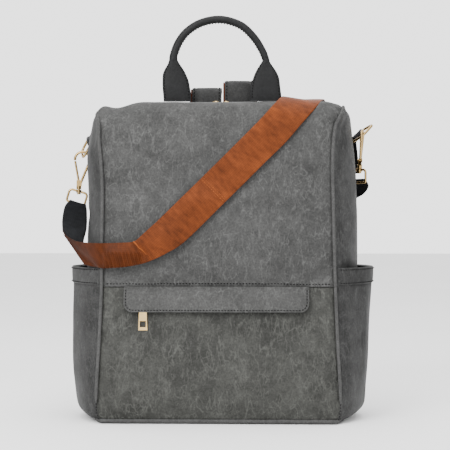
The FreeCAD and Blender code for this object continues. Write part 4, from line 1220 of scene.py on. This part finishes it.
def build_backpack_strap(name):
    x, rise, foot_x, ring_x = BACKPACK_STRAPS[name]
    half = PAD_HALF_WIDTH
    line = backpack_path(x, rise, foot_x)
    shares = [-1, -0.97, -0.9, -0.8, -0.6, -0.3, 0, 0.3, 0.6, 0.8, 0.9, 0.97, 1]
    top, low, lining, uv, run = [], [], [], [], 0.0
    for k, centre in enumerate(line):
        out = path_normal(line, k)
        run += (centre - line[max(k - 1, 0)]).length
        bent = smooth(0, 30, abs(k - 25))
        row, under = [], []
        for s in shares:
            channel = 0.5 * math.exp(-(((abs(s) - 0.84) / 0.05) ** 2))
            swell = 0.9 + (0.3 + 1.3 * bent) * (1 - abs(s) ** 4) - channel
            ripple = noise.noise(Vector((s * 0.8, run / 26, x))) * 0.5 * (0.4 + bent)
            row.append(centre + Vector((s * half, 0, 0)) + out * (swell + ripple - 0.4))
            under.append(centre + Vector((s * half, 0, 0)) - out * 1.0)
        top.append(row)
        low.append(under)
        lining.append([centre + Vector((s * 19.0 - 0.9, 0, 0)) - out * 1.15 for s in steps(-1, 1, 9)])
        uv.append([(run * MM, (s + 1) * 0.019) for s in steps(-1, 1, 9)])
    faces = sheet_faces(len(line), len(shares), front_first=False)
    pad = new_piece("backpack_pad_" + name, [p for row in top + low for p in row], faces, BACKPACK)
    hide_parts("backpack_strap_" + name)
    facing = two_faced("backpack_facing_" + name, lining, uv, 1.0, TAN, TAN)
    for edge in (3, -4):
        seam = [row[edge] * 0.5 + row[edge + (-1 if edge > 0 else 1)] * 0.5 for row in top]
        side = "outer" if edge > 0 else "inner"
        nearest = lambda p: min(range(len(line)), key=lambda k: (line[k].yz - p.yz).length)
        out = lambda p: path_normal(line, nearest(p))
        sewn("stitch_backpack_" + side + "_" + name, seam, out, pitch=3.8, width=0.62, sink=-0.1)
    start, end = Vector((foot_x, back_y(60) + 12.0, 136)), Vector((ring_x, back_y(60) + 9.6, 48))
    across = Vector((0, 1, 0)).cross(end - start).normalized() * TAPE_HALF_WIDTH
    middles = [start.lerp(end, share) for share in steps(0, 1, 6)]
    rows = [(middle - across, middle + across) for middle in middles]
    grid, uv = strap_grid(rows, 6, 7, wave=0.25, seed=4.0)
    tape = two_faced("backpack_tape_" + name, grid, uv, STRAP_THICK, STRAP_BACK, STRAP_BACK)
    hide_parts("backpack_webbing_" + name)


for side in BACKPACK_STRAPS:
    build_backpack_strap(side)


# ---- zips --------------------------------------------------------------------------------------
def zip_pieces(name, half, tape, place):
    """Woven tapes and a row of coil teeth. place(x, out, across) puts a point of the zip on the bag."""
    parts = []
    for side in (-1, 1):
        rows = [[place(x, -0.4, side * (1.5 + d)) for d in steps(0, tape, 4)] for x in steps(-half, half, 70)]
        if side > 0:
            rows = [list(reversed(row)) for row in rows]
        parts.append(thick_grid(rows, 0.7))
    tapes = new_piece(name + "_tape_pair", *join_meshes(parts), TAPE)
    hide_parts(name + "_tapes")
    teeth = []
    tooth = [(-0.3, 0.0, -1.9), (0.0, 0.8, -1.2), (0.0, 1.0, 0.0), (0.0, 0.8, 1.2), (0.3, 0.0, 1.9)]
    for x in steps(-half, half, int(half * 2 / 1.5)):
        loop = [place(x + along, out, across) for along, out, across in tooth]
        teeth.append(tube_mesh(loop, 0.5, 6))
    coil = new_piece(name + "_teeth", *join_meshes(teeth), COIL)
    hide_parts(name + "_coil")


def on_main_zip(x, out, across):
    z = HEIGHT - 2.0 + out
    return Vector((x, MAIN_ZIP_Y + across, z - droop(x, HEIGHT)))


def on_front_zip(x, out, across):
    return Vector((x + FLAP_CENTRE_X, front_y(FRONT_ZIP_Z) + 0.6 - out, FRONT_ZIP_Z + across))


zip_pieces("main_zip", MAIN_ZIP_HALF, 6.0, on_main_zip)
zip_pieces("front_zip", FRONT_ZIP_HALF, 3.0, on_front_zip)


def build_zip_ends():
    """Leather tabs over the two ends of the main zip, lying on the drooping corners."""
    parts = []
    for side in (-1, 1):
        rows = []
        for x in steps(side * 122.0, side * 133.0, 7):
            row = []
            for y in steps(30.5, 43.5, 7):
                row.append(Vector((x, y, HEIGHT + 0.5 - droop(x, HEIGHT) - 0.02 * (y + 23))))
            rows.append(row if side < 0 else list(reversed(row)))
        parts.append(thick_grid(rows, 1.5))
    tabs = new_piece("zip_end_covers", *join_meshes(parts), BLACK)
    soft_edges(tabs, 0.4)
    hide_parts("zip_end_tabs")


build_zip_ends()


# ---- other soft parts, made from their CAD shapes ----------------------------------------------
def softened(node_name, new_name, material, edge, sway=0.0):
    """A soft piece shaped like a CAD node, its edges rounded by edge and its faces slack by sway."""
    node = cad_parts[node_name]
    points = [node.matrix_world @ v.co / MM for v in node.data.vertices]
    middle = sum(points, Vector()) / len(points)
    for k, p in enumerate(points):
        if sway:
            pull = (middle - p).normalized()
            points[k] = p + pull * (abs(noise.noise(p / 40)) * sway)
    faces = [tuple(f.vertices) for f in node.data.polygons]
    piece = new_piece(new_name, points, faces, material)
    weld = piece.modifiers.new("weld", "WELD")
    weld.merge_threshold = 0.0001
    if edge:
        soft_edges(piece, edge, 2)
    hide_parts(node_name)


for side in ("left", "right"):
    softened("dring_tab_" + side, "ring_tab_" + side, BLACK, 0.5)
    softened("lower_tab_" + side, "corner_tab_" + side, BACKPACK, 0.5)
    softened("handle_anchor_" + side, "handle_foot_" + side, HANDLE, 0.5)
softened("main_lining", "lining_bag", LINING, 0.0, 2.0)
softened("front_pocket_lining", "lining_pocket", LINING, 0.0, 1.0)


# ---- hardware that keeps its CAD shape ---------------------------------------------------------
def finish_nodes(material, *names):
    """Gives kept CAD nodes their material."""
    for name in names:
        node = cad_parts[name]
        node.data.materials.clear()
        node.data.materials.append(material)


HOOK_PARTS = ("dring", "hook_frame", "hook_gate", "hook_rivet", "swivel_loop")
for side in ("left", "right"):
    finish_nodes(DEEP_GOLD, *(part + "_" + side for part in HOOK_PARTS))
    finish_nodes(GOLD, "main_zip_slider_" + side, "main_zip_puller_" + side)
    finish_nodes(DARK_METAL, "adjuster_" + side, "webbing_ring_" + side)
finish_nodes(GOLD, "front_zip_slider", "front_zip_puller")
finish_nodes(BOARD, "base_board")


# ---- stage, light and camera -------------------------------------------------------------------
def build_stage():
    mesh = bpy.data.meshes.new("ground")
    corners = [(x, y, -0.0005) for x, y in ((-6, -6), (6, -6), (6, 6), (-6, 6))]
    mesh.from_pydata(corners, [], [(0, 1, 2, 3)])
    ground = bpy.data.objects.new("ground", mesh)
    bpy.context.collection.objects.link(ground)
    n = Nodes("ground_paper", rough=0.9, specular=0.1)
    cloud = n.noise(n.place(), 3, 2)
    mesh.materials.append(n.finish(n.ramp(cloud.outputs["Fac"], [(0.3, 0.86), (0.7, 0.88)])))
    world = bpy.data.worlds.new("studio")
    bpy.context.scene.world = world
    world.use_nodes = True
    tree = world.node_tree
    ways = tree.nodes.new("ShaderNodeTexCoord")
    parts = tree.nodes.new("ShaderNodeSeparateXYZ")
    across = tree.nodes.new("ShaderNodeMath")
    across.operation = "ABSOLUTE"
    walls = tree.nodes.new("ShaderNodeValToRGB")
    for element, (place, tone) in zip(walls.color_ramp.elements, ((0.34, 1.0), (0.66, 0.42))):
        element.position = place
        element.color = (tone, tone, tone, 1)
    tree.links.new(ways.outputs["Generated"], parts.inputs[0])
    tree.links.new(parts.outputs["X"], across.inputs[0])
    tree.links.new(across.outputs[0], walls.inputs["Fac"])
    tree.links.new(walls.outputs["Color"], tree.nodes["Background"].inputs["Color"])
    tree.nodes["Background"].inputs["Strength"].default_value = 2.6


def softbox(name, place, aim, size, power):
    light = bpy.data.lights.new(name, "AREA")
    light.shape = "RECTANGLE"
    light.size, light.size_y = size
    light.energy = power
    lamp = bpy.data.objects.new(name, light)
    lamp.location = place
    lamp.rotation_euler = (Vector(aim) - Vector(place)).to_track_quat("-Z", "Y").to_euler()
    bpy.context.collection.objects.link(lamp)


build_stage()
# name, place, aim, size (all in metres), power in watts
softbox("key", (-1.1, -1.9, 1.35), (0, 0, 0.22), (1.2, 1.2), 60)
softbox("fill", (1.6, -1.7, 0.7), (0, 0, 0.2), (1.4, 1.4), 16)
softbox("top", (0.0, -0.2, 1.9), (0, 0, 0.2), (1.6, 1.2), 22)

CAMERA_PLACE = (0.0627, -1.774, 0.250)
CAMERA_DOWN = 0.757            # degrees below level
CAMERA_YAW = 1.84              # degrees to the left of straight ahead
camera = bpy.data.objects.new("camera", bpy.data.cameras.new("camera"))
bpy.context.collection.objects.link(camera)
camera.location = CAMERA_PLACE
camera.rotation_euler = (math.radians(90 - CAMERA_DOWN), 0.0, math.radians(CAMERA_YAW))
camera.data.lens = 119.52
camera.data.sensor_width = 36.0
bpy.context.scene.camera = camera
